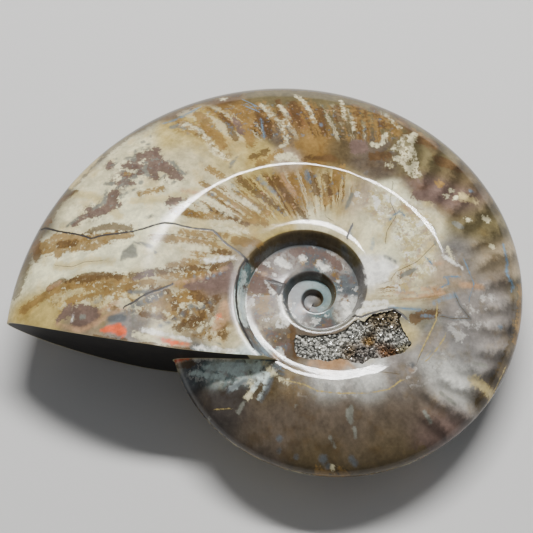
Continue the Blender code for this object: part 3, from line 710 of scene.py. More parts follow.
        [(10.5, 51, 0.3), (10.8, 46, 0.3)], [(19.5, 53, 0.3), (23, 48, 0.3)], [(-23.5, 58, 0.4)],
        [(-21, 25.5, 0.6), (-14, 21, 0.5)], [(-25, 16, 0.7), (-17, 15, 0.6)],
        [(-31, 24, 0.8), (-27, 21, 0.6)], [(35, 28.5, 0.5)], [(33.5, 26.5, 0.5)], [(36, 26.3, 0.5)],
        [(38.7, 20, 0.6)], [(43.8, 21.5, 0.7)], [(44.5, 13.5, 0.4)], [(-43, -13, 0.7), (-40, -14, 0.6)],
        [(-47, -4, 0.6), (-43, -6, 0.6)], [(-46, -5.6, 0.4), (-49, -4.6, 0.4)],
        [(-33, 11, 0.7), (-26, 10, 0.6)], [(-41, 6, 1.1), (-34, 7.5, 0.8)],
        [(-8.5, -22.5, 0.3), (-7, -23.5, 0.3)],
        [(-12.5, -18.5, 0.5), (-11.5, -20, 0.5), (-10.5, -21.3, 0.5)], [(-33, -6, 0.4), (-31, -4.5, 0.4)],
        [(3.7, -42.4, 0.4)], [(-16.2, -22.6, 0.3), (-15, -24.3), (-16.5, -26.2, 0.5)],
        [(33, 11, 0.3), (34, 7, 0.25)],
    ]},
    # white strokes: mostly the nacre's own white patches, with a few painted highlights noted below
    "white": {"width": 0.3, "rag": 1.4, "soft": 0.4, "strength": 0.8, "chains": [
        [(-58.7, -6.7), (-58.7, -8.3)], [(-50, -6.3, 0.4)], [(-9, 9, 1), (-6.5, 7.6, 0.8)],
        # the strokes at (7, -2) and at (-9, -15) are painted highlights, where the inner whorl's crest
        # catches the light
        [(-3, 9.8, 0.6)], [(1, 8.5, 0.6), (3, 7.1, 0.5)], [(5.5, 4, 0.4)], [(7, -2, 0.6), (8, -4, 0.6)],
        [(-10, 5, 0.4)], [(-12, 3, 0.25), (-10.2, 0)], [(-9, -1, 0.5), (-8, -5, 0.7), (-7, -8, 0.5)],
        [(-9, -15, 0.5), (-8, -17, 0.5)], [(12.8, 5, 0.7), (16, 5.6, 0.7), (20, 6.4)],
        [(13, 2.6, 0.6), (17, 2.9, 0.5)], [(12, -3.6, 0.6), (17, -2.8, 0.5)],
        [(10.5, -5.4, 0.5), (15, -4.6, 0.5), (19, -4)], [(-28, 6.5), (-24, 7.3, 0.35), (-20, 7.8)],
        [(-17.3, 1.3), (-17.8, -2, 0.4), (-17.6, -6, 0.4), (-16.8, -9.5)], [(32, 8.6), (36, 6)],
        # painted highlight: this white stroke is the light that the low lip along the cut catches
        [(-42, -12), (-38, -12.3, 0.4), (-31, -14, 0.35), (-29, -16), (-20, -16.8)],
    ]},
    "salmon": {"width": 0.4, "rag": 0.6, "soft": 0.7, "strength": 0.85, "chains": [
        [(-66, 1.3, 0.3), (-63, 2.5, 0.3)], [(-63, -8.7, 0.3), (-57, -10.8)],
        [(-57, -11), (-54, -10, 0.5), (-51, -8, 0.5), (-46, -5.8, 0.3)],
        [(-52, -6.5, 0.5), (-48, -4.3, 0.5)],
        [(-35, 0.5, 0.25), (-31, 1.3, 0.3), (-26, 3, 0.3), (-22, 4.8, 0.3)],
        [(-24, -11, 1), (-22.5, -8, 1.6), (-22, -5, 1)], [(-33.5, 26.5, 0.5), (-30, 25.5, 0.5), (-28, 25)],
        [(-8, 31), (-7, 29, 0.45), (-5.5, 26.5), (-4.5, 25, 0.3)], [(28, 6.8), (31, 7)],
        [(19.5, -0.6, 0.35), (24, -0.7)], [(26, 0.5, 0.35), (31, 0.3, 0.35)], [(25, -1.5), (31, -0.8, 0.5)],
        [(21, -2, 0.3), (24, -2.5, 0.3)], [(36, 1.5, 0.8), (41, 1.5, 0.6)], [(22.5, 22.5), (24, 21)],
        [(1, -18.4, 0.35), (1.2, -21, 0.25)], [(4.5, -18.3), (4.8, -20, 0.3)],
        [(7.5, -18.6), (9, -20, 0.35)], [(-1.5, -18.6, 0.5), (-2, -20, 0.3)], [(22.6, -20.4, 0.5)],
        [(-12.5, 5.3)], [(-10.2, -16.2, 0.3), (-9.3, -18, 0.35)],
        [(-38, -13.7, 0.5), (-33, -15, 0.6), (-30, -15.3)],
    ]},
    "aqua": {"width": 0.4, "rag": 1.3, "soft": 0.4, "strength": 0.8, "chains": [
        # all but the last of these strokes lie on the scar under the ground end, where the light aqua is
        # painted light that makes up for the shade on it
        [(-30, -19, 0.5), (-26, -20.3, 0.5), (-23, -21.5, 0.5)],
        [(-27, -18.3, 0.5), (-20, -19.4, 0.6), (-14, -19.2, 0.5)],
        [(-20, -20, 0.5), (-17, -22, 0.5), (-20.5, -24)],
        [(-14.5, -20, 0.5), (-13.5, -22.2), (-15.2, -24.6)],
        [(-11.7, -21), (-12.3, -24), (-13.6, -27, 0.3)], [(-24, -18), (-17, -18.6)],
        [(-17.6, 4), (-18.2, 0), (-18, -5, 0.5), (-17, -9.5)],
    ]},
    "fire": {"width": 0.4, "rag": 0.8, "soft": 0.5, "strength": 0.95, "chains": [
        [(-51.3, -11.4), (-49, -11.2, 0.9), (-47.2, -11, 1), (-46.5, -12.4, 0.9)],
        [(-37, -14.2), (-34, -14.9, 0.5), (-31, -15.2, 0.3)], [(-23.5, -8, 0.6)],
    ]},
    "slate": {"width": 0.4, "rag": 0.8, "soft": 0.5, "strength": 0.85, "chains": [
        [(-49.5, -8.5, 0.9), (-46.5, -8.5, 1)], [(-44, -5.6, 0.7), (-40, -3.8, 0.9), (-37, -2, 0.6)],
        [(-45, -1.8, 0.6), (-40, -1.8, 0.5)],
        [(-38, -11), (-35, -9.5), (-32.5, -8), (-31, -6.3), (-30.5, -5.3), (-28, -6), (-26, -5), (-25, -4)],
        [(-10.4, 3.2, 0.6), (-8.6, 2.2, 1), (-8.8, 0.6, 0.7)], [(7.2, 4.6, 0.9), (8, 1.5, 1)],
        [(-3, 0.3, 0.7)], [(-10, -19.2, 0.6), (-8.3, -21.5, 0.5)], [(-17, -22.3, 0.5), (-21, -24.3, 0.6)],
        [(-11, -22.5, 0.6), (-12, -25, 0.6), (-13.3, -27.3)],
        [(34, -1.4, 0.3), (35, -4, 0.3), (37.5, -7, 0.3), (33, -7.5, 0.3), (30.5, -7, 0.3)],
        [(22.7, -19.5, 0.7)], [(-9, -36, 0.5)], [(-9, -38.5)], [(-5, -40)], [(1.5, -40.6, 0.9)],
        [(2.5, -42, 0.5)], [(8, -40.5, 0.5), (9, -41.5, 0.5)], [(-21.3, 33.2, 0.5)], [(17.5, 9), (20, 7.5)],
        [(20.2, 39.2, 0.35)], [(21.4, 37.4, 0.3)], [(22.3, 42, 0.3)], [(13.2, 31.7)],
        [(0, 13.7), (-6, 13, 0.5), (-11, 11, 0.5), (-14.5, 8, 0.5)], [(7, 11.5), (10, 6)],
    ]},
    # the first 8 blue strokes have a hairline along them, see the veins
    "blue": {"width": 0.3, "rag": 1.0, "soft": 0.4, "strength": 0.55, "chains": [
        [(18.8, 19, 0.25), (19.8, 20.2), (21.5, 21.1, 0.25), (22.4, 20, 0.2)],
        [(27.5, 8.5, 0.25), (28.7, 7)], [(32, 3.4, 0.25), (35, 3.5, 0.2)],
        [(32.3, 3.2, 0.25), (32.5, 1.5, 0.25), (31, 0.8, 0.2)], [(18, -4.4, 0.35), (25, -5)],
        [(47.8, 14.8, 0.25), (48.3, 12, 0.25), (48.5, 9.5), (48, 7), (48.3, 6), (49.2, 4.7, 0.35),
         (49.5, 3.5), (49, 2.2, 0.2)], [(-13.5, 48.7, 0.2), (-12.6, 42.3, 0.25)],
        [(-39, 50, 0.2), (-37, 50.3, 0.25), (-35, 51.5, 0.25), (-32, 53.5, 0.25), (-30, 55, 0.2)],
        [(14, 10.9), (14.3, 12.2, 0.45), (14.5, 13.6, 0.2)],
        [(28.5, -3.5, 0.4), (31, -2.3, 0.5), (34, -1.4, 0.5)], [(25.8, -6.7), (28, -7, 0.4)],
        [(45.3, -8, 0.4)], [(40.5, 29.5, 0.4)], [(2.2, 47.2, 0.5)], [(-2.7, 43.3)], [(17.5, 50.5, 0.4)],
        [(-27, 25, 0.4), (-25, 25)], [(-31, 2.2, 0.2), (-29, 2.8)],
        [(-26.5, 2.3), (-24, 3.1), (-22.5, 3.8, 0.25)], [(-14, 30, 0.4), (-11, 27, 0.4), (-9.5, 25.5)],
        [(-2, 32, 0.4), (-1, 29)], [(-17.6, 0), (-17.9, -4, 0.35), (-17.4, -8)], [(22.5, -13.5)],
        [(24.5, -14.8)], [(-14.5, -12, 0.5), (-13.2, -15, 0.5), (-11.8, -17.6, 0.4)],
        [(-9, -18.3), (-8.2, -20.2, 0.35)], [(9, 15.4), (8.3, 14.2)], [(9.4, 17.2, 0.25), (8.9, 16, 0.25)],
    ]},
}

# Cracks and other hairlines, drawn as lines of one width
veins = {
    "crack": {"tone": "night", "width": 0.27, "soft": 0.1, "rag": 0.2, "chains": [
        [(-69.5, 20), (-68.5, 20), (-65, 18), (-62.5, 17), (-58, 15.3), (-55.7, 14), (-53, 14.6),
         (-49, 14.7), (-45, 15), (-42, 15.7), (-40, 16.4), (-37.5, 17), (-35, 16.7), (-32, 16),
         (-29, 15.6), (-25.5, 15.4), (-24.7, 14.8), (-23.5, 13.2), (-22.5, 12), (-20.5, 10.5), (-18.5, 9),
         (-17.5, 8), (-16.7, 7)],
        [(-17, 7.5), (-18.5, 5), (-19.3, 1), (-19.4, -3), (-19.1, -6), (-18.6, -8.5), (-17.4, -11.5),
         (-16, -14.5), (-15.3, -16)],
        [(-46, -5.5), (-44, -4.5), (-42, -3), (-40, -2), (-38, -1.2), (-36.5, -0.3), (-35, 0.3)],
        [(9.4, 17.4), (8.5, 15.5), (8, 14)], [(-7.5, 2.5), (-12, 3.4)], [(-7.5, 2.5), (-9, -0.4)],
        [(9, -6.4), (11, -6.9), (13, -6), (16, -5.2), (18.7, -4.7), (20.6, -6), (22, -7.5)],
    ]},
    "hairline": {"tone": "umber", "width": 0.07, "soft": 0.09, "rag": 0.1, "chains": [
        [(-38, 13.7), (-34, 13.8), (-30, 13.2), (-26, 12.8), (-23, 12.3)],
        [(11, -20), (15, -21), (19, -21.5)], [(3, 19.5), (4, 18.7)],
        [(24, -18.5), (27, -12), (29, -8), (29.5, -4)], [(29.5, 12), (25, 7.5), (20, 5), (18.5, 3)],
        [(-52, 7.3), (-57, 7.5), (-60, 6.5), (-64, 7.5)],
        [(34, -1.4), (35, -4), (37.5, -7), (33, -7.5), (30.5, -7)],
        [(20, 29), (19, 24), (20.5, 20), (18, 16), (17.5, 13)],
    ]},
    "goldLine": {"tone": "honey", "width": 0.1, "soft": 0.14, "rag": 0.3, "chains": [
        [(-7, -23), (-3, -24), (0, -25.6), (5, -26.2), (12, -26.2), (17, -25.2), (20, -23)],
        [(41, -27), (44, -22), (46.5, -17)], [(29.5, -4), (29, -8), (27, -12), (24.5, -17)],
        [(31, -12), (29, -15), (26.5, -18)], [(-24, -28.3), (-21, -28.5)],
    ]},
    "vein": {"tone": "blue", "width": 0.1, "soft": 0.12, "rag": 0.3, "chains": marks["blue"]["chains"][:8] + [
        [(37, 8), (39, 2), (37.5, -2)], [(-18.2, 57), (-14.5, 54)], [(-18, 54.5), (-14.3, 52)],
    ]},
}

# Where patterns finer than the marks lie: their middle lines with (x, y, half width)
zones = {
    "radial": [
        [(-32, 21, 3), (-22, 24, 4), (-12, 25, 6), (-2, 26, 6), (6, 28, 4)],
        [(-31, 50, 5), (-18, 48, 6), (0, 49, 6), (17, 48, 6)], [(18, 0, 2), (30, -0.5, 1.5)],
    ],
    "islands": [
        [(-43, 38, 3), (-40, 34, 3.5), (-35, 31, 2.5)], [(-49, 31, 3), (-45, 34, 2.5)],
        [(-51, 25, 2.5), (-56, 21.5, 2)], [(-52, 37, 1.5)],
    ],
    "mottled": [
        [(-62, -1, 3), (-50, -2, 3.5), (-40, -4, 4), (-30, -7, 5), (-24, -12, 3)],
        [(-66, 13, 1.5), (-52, 13.5, 1.5)], [(-34, 4, 2), (-25, 4, 2)],
    ],
    "marbled": [
        [(-17, 6, 1), (-18, -3, 1), (-15, -13, 1)], [(-12, 6, 3), (-13, -4, 3), (-9, -13, 3)],
        [(-8, 9.5, 2), (0, 10, 2.5), (6, 7, 2.5), (8, 0, 2.5)], [(-4, -4, 3), (3, -6, 3)],
    ],
    "crackled": [
        [(-34, 49, 1), (-26, 41, 1), (-22, 36, 1)], [(-13, 54, 2), (-7, 47, 2), (-7, 41, 1.5)],
        [(-2, 56, 1.5), (0, 48, 1.5)], [(9, 54, 2), (16, 50, 3), (22, 50, 2)],
    ],
    "plated": [[(13, 25, 3), (24, 18, 5), (26, 8, 4), (21, 1, 2)]],
    "crusted": [[(20, 39.5, 1), (24, 43, 2), (27, 47, 1)], [(24.5, 39, 2), (26, 32, 1.5)], [(20, 35, 1)]],
    "scarred": [[(-29, -19, 2), (-22, -20, 3), (-14, -20.5, 2.5), (-11, -20, 1.5)]],
    "ribbed": [[(30, 38, 8), (41, 24, 7), (46, 10, 6), (47, -6, 5), (43, -20, 5), (30, -30, 6)]],
    "pearly": [
        [(-7, -24, 1.6), (2, -24.5, 2), (12, -24.5, 2), (20, -22.5, 2), (30, -19, 3)],
        [(36, -10, 4), (40, -2, 4)],
    ],
}

# How the growth lines and the underside lie, and how places are told to be on one whorl or another
pattern = {
    "sweep": 0.35, "lineScale": 42.0, "reachScale": 14.0, "undersideTurn": -100.0,
    "farthest": 3.0, "dot": 0.01,  # how far from a stroke counts, and the length of a stroke of one place
    "seamSlack": 0.998, "cutSlack": 0.2, "cutFrom": 150, "lastGrowth": 250, "leastReach": -0.3,
    "older": -178, "wallReach": 0.005, "underLines": 40.0, "whorlLines": 9,
}

# Where the polish is worn: growth angles and reaches from where it starts to where it is full, and how much
worn = {
    "wall": (0.04, 0.01), "newerFoot": (-125, -155), "older": 0.3,
    "innermost": (-470, -530), "innermostShare": 2.2,
    "end": (146, 158), "endReach": (0.2, 0.3), "endShare": 0.7,
}


def growthAt(points):
    # The growth angle and reach of places on the coil; the newest whorl that covers a place counts
    radius, bearing = np.hypot(points[:, 0], points[:, 1]), np.arctan2(points[:, 1], points[:, 0])
    growth = bearing - 2 * turn
    for whorl in (-1, 0, 1):
        newer = bearing + whorl * turn
        covered = radius > seamRadius(newer) * pattern["seamSlack"]
        covered &= newer < math.radians(pattern["lastGrowth"])
        covered &= (newer < math.radians(pattern["cutFrom"])) | (insideCut(points) > -pattern["cutSlack"])
        growth = np.where(covered, newer, growth)
    return growth, np.clip(reachOf(radius, growth), pattern["leastReach"], 1)


def chainDepth(chains, width, spots):
    # How deep each spot lies inside the strokes, in millimetres; negative outside them
    deepest = np.full(len(spots), -pattern["farthest"])
    for chain in chains:
        places = np.array([point[:2] for point in chain], float)
        widths = np.array([point[2] if len(point) > 2 else width for point in chain])
        if len(chain) == 1:
            places, widths = np.repeat(places, 2, 0) + [[0, 0], [pattern["dot"], 0]], np.repeat(widths, 2)
        reach = pattern["farthest"] + widths.max()
        near = ((spots > places.min(0) - reach) & (spots < places.max(0) + reach)).all(1).nonzero()[0]
        for start, end, first, last in zip(places, places[1:], widths, widths[1:]):
            share, away = alongLine(start, end, spots[near])
            deepest[near] = np.maximum(deepest[near], first + share * (last - first) - away)
    return deepest


def lineSides(chains, spots):
    # For thin lines: the distance to the nearest one, signed by the side of it that a spot lies on
    nearest, side = np.full(len(spots), pattern["farthest"]), np.full(len(spots), pattern["farthest"])
    for chain in chains:
        places = np.array([point[:2] for point in chain], float)
        for start, end in zip(places, places[1:]):
            along, offset = end - start, spots - start
            away = alongLine(start, end, spots)[1]
            turnedLeft = np.where(along[0] * offset[:, 1] - along[1] * offset[:, 0] > 0, 1, -1)
            side = np.where(away < nearest, away * turnedLeft, side)
            nearest = np.minimum(nearest, away)
    return side, -nearest


def blended(controls, spots):
    # A colour for each spot, blended from the named tones around it
    farShare = 1e-6  # what a control still counts for far away from it
    total, weight = np.zeros((len(spots), 3)), np.zeros(len(spots))
    for x, y, tone, spread in controls:
        distance = (spots[:, 0] - x) ** 2 + (spots[:, 1] - y) ** 2
        share = np.exp(-distance / spread**2) + farShare / (1 + distance)
        total += share[:, None] * np.array(tones[tone])
        weight += share
    return total / weight[:, None]


def coilPlaces(items, field):
    # Places of points or faces in the coil's own frame
    places = np.empty(len(items) * 3)
    items.foreach_get(field, places)
    places = np.column_stack([places.reshape(-1, 3), np.ones(len(items))])
    return (places @ np.array(coilToWorld.inverted()).T)[:, :3]


def addValues(data, name, values):
    kinds = {1: ("FLOAT", "value"), 3: ("FLOAT_VECTOR", "vector"), 4: ("FLOAT_COLOR", "color")}
    kind, field = kinds[1 if values.ndim == 1 else values.shape[1]]
    data.attributes.new(name, kind, "POINT").data.foreach_set(field, values.astype(np.float32).ravel())


def addColours(data, name, colours):
    addValues(data, name, np.column_stack([colours, np.ones(len(colours))]))


def paintShell(data):
    points = coilPlaces(data.vertices, "co")
    growth, reach = growthAt(points)
    under, degrees = points[:, 2] < 0, np.degrees(growth)
    radius = np.hypot(points[:, 0], points[:, 1])
    shift = math.radians(pattern["undersideTurn"])
    shown = np.where(under, growth + shift, growth)
    radius = np.where(under, grown(radius, coil["venterGrowth"], shift), radius)
    spots = np.column_stack([radius * np.cos(shown), radius * np.sin(shown)])
    line = (growth - pattern["sweep"] * np.clip(reach, 0, 1)) * pattern["lineScale"]
    layer = np.where(under, pattern["underLines"], 0.0)
    layer += np.floor((growth + math.pi) / turn) * pattern["whorlLines"]
    addValues(data, "lines", np.column_stack([line, reach * pattern["reachScale"], layer]))
    older, wall = growth < math.radians(pattern["older"]), reach < pattern["wallReach"]
    ground = np.where(older[:, None], blended(olderGrounds, spots), blended(grounds, spots))
    addColours(data, "ground", np.where(wall[:, None], blended(wallGrounds, spots), ground))
    for name, kind in marks.items():
        addValues(data, name, chainDepth(kind["chains"], kind["width"], spots))
    for name, kind in veins.items():
        side, nearness = lineSides(kind["chains"], spots)
        addValues(data, name + "Side", side)
        addValues(data, name + "Near", nearness)
    for name, chains in zones.items():
        addValues(data, name, chainDepth(chains, 1, spots))
    wornHere = np.maximum(ramp(reach, *worn["wall"]), ramp(degrees, *worn["newerFoot"]))
    wornHere = np.where(older, worn["older"], wornHere)
    wornHere += worn["innermostShare"] * ramp(degrees, *worn["innermost"])
    wornHere += worn["endShare"] * ramp(degrees, *worn["end"]) * ramp(reach, *worn["endReach"])
    addValues(data, "worn", wornHere)
    print("painted", len(marks), "kinds of marks,", len(veins), "of lines and", len(zones), "zones")
    return points


nodeTools = namedtuple("nodeTools", "put calc times blend noise spread read bump")


def toolsFor(tree):
    # Small helpers for building a node tree
    def put(kind, *feeds, out=0, **settings):
        node = tree.nodes.new("ShaderNode" + kind)
        for name, value in settings.items():
            setattr(node, name, value)
        for socket, feed in zip(node.inputs, feeds):
            if isinstance(feed, bpy.types.NodeSocket):
                tree.links.new(feed, socket)
            elif feed is not None:
                socket.default_value = feed
        return node.outputs[out]

    def calc(operation, *feeds):
        return put("Math", *feeds, operation=operation)

    def times(vector, by):
        return put("VectorMath", vector, by, operation="MULTIPLY")

    def blend(mask, first, second):
        node = tree.nodes.new("ShaderNodeMix")
        node.data_type = "RGBA"
        for index, feed in ((0, mask), (6, first), (7, second)):
            if isinstance(feed, bpy.types.NodeSocket):
                tree.links.new(feed, node.inputs[index])
            else:
                node.inputs[index].default_value = (*feed, 1)
        return node.outputs[2]

    def noise(vector, scale, detail, roughness, offset):
        node = tree.nodes.new("ShaderNodeTexNoise")
        node.noise_dimensions = "4D"
        tree.links.new(vector, node.inputs["Vector"])
        for name, value in (("W", offset), ("Scale", scale), ("Detail", detail), ("Roughness", roughness)):
            node.inputs[name].default_value = value
        return node.outputs[0]

    def spread(value, low, high, first=0.0, last=1.0):
        return put("MapRange", value, low, high, first, last, interpolation_type="SMOOTHSTEP")

    def read(name, out="Fac"):
        return put("Attribute", attribute_name=name, out=out)

    def bump(shader, height, distance):
        node = tree.nodes.new("ShaderNodeBump")
        node.inputs["Distance"].default_value = distance * mm
        tree.links.new(height, node.inputs["Height"])
        tree.links.new(node.outputs[0], shader.inputs["Normal"])

    return nodeTools(put, calc, times, blend, noise, spread, read, bump)


def newMaterial(name):
    made = bpy.data.materials.new(name)
    made.use_nodes = True
    return made, made.node_tree.nodes["Principled BSDF"]


def millimetres(tools):
    return tools.times(tools.put("TexCoord", out="Object"), (1000, 1000, 1000))


# The noise value that leaves an edge where it is, and how far noise can move an edge whose rag is 1
fray = {"middle": 0.46, "reach": 3.0}


def raggedGroup():
    # A mask from a depth attribute, its edge frayed by noise
    group = bpy.data.node_groups.new("raggedEdge", "ShaderNodeTree")
    for name in ("Depth", "Noise", "Rag", "Soft", "Strength"):
        group.interface.new_socket(name, in_out="INPUT", socket_type="NodeSocketFloat")
    group.interface.new_socket("Mask", in_out="OUTPUT", socket_type="NodeSocketFloat")
    tools = toolsFor(group)
    source = group.nodes.new("NodeGroupInput").outputs
    rag, soft = tools.calc("MULTIPLY", source["Rag"], fray["reach"]), source["Soft"]
    moved = tools.calc("SUBTRACT", source["Noise"], fray["middle"])
    frayed = tools.calc("MULTIPLY_ADD", moved, rag, source["Depth"])
    mask = tools.spread(frayed, tools.calc("MULTIPLY", soft, -1.0), soft, 0.0, source["Strength"])
    group.links.new(mask, group.nodes.new("NodeGroupOutput").inputs[0])
    return group


# Grains of mineral: noise as (scale, detail, roughness, seed), and between what values dark turns to light
grains = {"coarse": (0.25, 4, 0.6, 0.0), "coarseShare": 0.7, "fine": (1.8, 2, 0.6, 3.0), "fineShare": 0.5,
          "darkToLight": (0.42, 0.78)}


def grainGroup():
    # Speckled mineral: a colour between two tones with dark and light grains
    group = bpy.data.node_groups.new("mineralGrain", "ShaderNodeTree")
    for name, kind in (("Light", "Color"), ("Dark", "Color"), ("Scale", "Float")):
        group.interface.new_socket(name, in_out="INPUT", socket_type="NodeSocket" + kind)
    group.interface.new_socket("Colour", in_out="OUTPUT", socket_type="NodeSocketColor")
    group.interface.new_socket("Height", in_out="OUTPUT", socket_type="NodeSocketFloat")
    tools = toolsFor(group)
    source, target = group.nodes.new("NodeGroupInput").outputs, group.nodes.new("NodeGroupOutput").inputs
    place = tools.times(millimetres(tools), source["Scale"])
    coarse = tools.calc("MULTIPLY", tools.noise(place, *grains["coarse"]), grains["coarseShare"])
    mixed = tools.calc("MULTIPLY_ADD", tools.noise(place, *grains["fine"]), grains["fineShare"], coarse)
    lightness = tools.spread(mixed, *grains["darkToLight"])
    group.links.new(tools.blend(lightness, source["Dark"], source["Light"]), target["Colour"])
    group.links.new(mixed, target["Height"])
    return group


shellFinish = {
    "roughness": 0.06, "worn": 0.13, "specular": 0.4, "bump": 0.06, "crackBump": 0.6, "crackRoughness": 0.4,
    # shading by noise: from which value to which, and how dark and how light it makes the colour
    "streaks": (0.36, 0.64, 0.93, 1.07), "mottle": (0.34, 0.66, 0.8, 1.2), "grain": (0.36, 0.64, 0.89, 1.11),
    "golden": (0.5, 0.66, 0.0, 0.5), "goldenTint": (0.84, 0.70, 0.46),  # likewise, how strong the tint is
    "ribs": 0.45, "ribsATurn": 46, "ribWander": 6.0,
    "zoneEdge": (-1.8, 1.2), "veinReach": 0.95, "veinMiddle": 0.5,
}
# Noise over the shell as (scale, detail, roughness, seed): along the growth lines, which a stretch draws
# out, and all over
lineStretch = (1, 0.16, 1)
lineNoises = {"wide": (0.35, 3, 0.6, 0.0), "narrow": (1.1, 4, 0.65, 2.0)}
noises = {
    "coarse": (0.28, 4, 0.62, 0.0), "fine": (1.1, 4, 0.65, 1.0), "flecks": (0.42, 5, 0.62, 5.0),
    "specks": (0.75, 4, 0.6, 8.0), "veils": (0.30, 5, 0.7, 14.0), "golden": (0.2, 4, 0.6, 7.0),
    "bumps": (0.16, 1, 0.4, 9.0),
}
# Two noises mixed, with the second's share
mixes = {"evenFray": ("narrow", "fine", 0.6), "oddFray": ("coarse", "fine", 0.55),
         "streaks": ("wide", "narrow", 0.5), "grain": ("fine", "specks", 0.3)}
# Streams waver along the growth lines
streams = {"push": (3.0, 0.0, 0.0), "stretch": (0.75, 0.14, 1), "noise": (0.6, 4, 0.66, 12.0)}

# Blotches that noise draws inside a zone: (zone, noise, from, to, strength, tone)
blotches = [
    ("mottled", "flecks", 0.52, 0.54, 0.75, "gold"), ("mottled", "flecks", 0.575, 0.585, 0.8, "brown"),
    ("mottled", "flecks", 0.45, 0.43, 0.7, "cream"), ("mottled", "specks", 0.64, 0.66, 0.8, "grey"),
    ("islands", "specks", 0.535, 0.55, 0.8, "grey"), ("islands", "flecks", 0.545, 0.555, 0.9, "mauve"),
    ("marbled", "veils", 0.50, 0.56, 0.85, "mauve"), ("marbled", "veils", 0.60, 0.63, 0.8, "slate"),
    ("marbled", "veils", 0.44, 0.40, 0.55, "white"), ("marbled", "flecks", 0.60, 0.63, 0.8, "gold"),
    ("marbled", "specks", 0.64, 0.67, 0.8, "dusk"), ("radial", "streams", 0.50, 0.53, 0.9, "gold"),
    ("radial", "streams", 0.56, 0.58, 0.85, "brown"), ("radial", "streams", 0.44, 0.41, 0.45, "cream"),
    ("plated", "veils", 0.50, 0.55, 0.6, "tan"), ("plated", "flecks", 0.52, 0.54, 0.6, "honey"),
    ("plated", "specks", 0.56, 0.58, 0.5, "lilac"), ("plated", "veils", 0.45, 0.42, 0.7, "white"),
    ("pearly", "veils", 0.52, 0.6, 0.5, "ash"), ("pearly", "veils", 0.46, 0.4, 0.3, "white"),
    ("scarred", "streams", 0.52, 0.56, 0.6, "teal"), ("scarred", "specks", 0.57, 0.6, 0.6, "dusk"),
    ("scarred", "specks", 0.44, 0.42, 0.7, "pearl"),
]
# and those drawn over the marks
lateBlotches = [
    ("radial", "specks", 0.60, 0.62, 0.5, "salmon"), ("radial", "specks", 0.40, 0.38, 0.35, "blue"),
    ("plated", "specks", 0.61, 0.63, 0.5, "salmon"), ("marbled", "specks", 0.61, 0.63, 0.5, "teal"),
    ("crackled", "specks", 0.50, 0.53, 0.8, "gold"), ("crackled", "flecks", 0.55, 0.57, 0.6, "brown"),
    ("crusted", "specks", 0.53, 0.55, 0.9, "olive"), ("crusted", "flecks", 0.55, 0.57, 0.8, "umber"),
    ("islands", "specks", 0.59, 0.61, 0.75, "grey"), ("mottled", "specks", 0.59, 0.61, 0.6, "gold"),
    ("mottled", "specks", 0.42, 0.4, 0.6, "cream"),
]


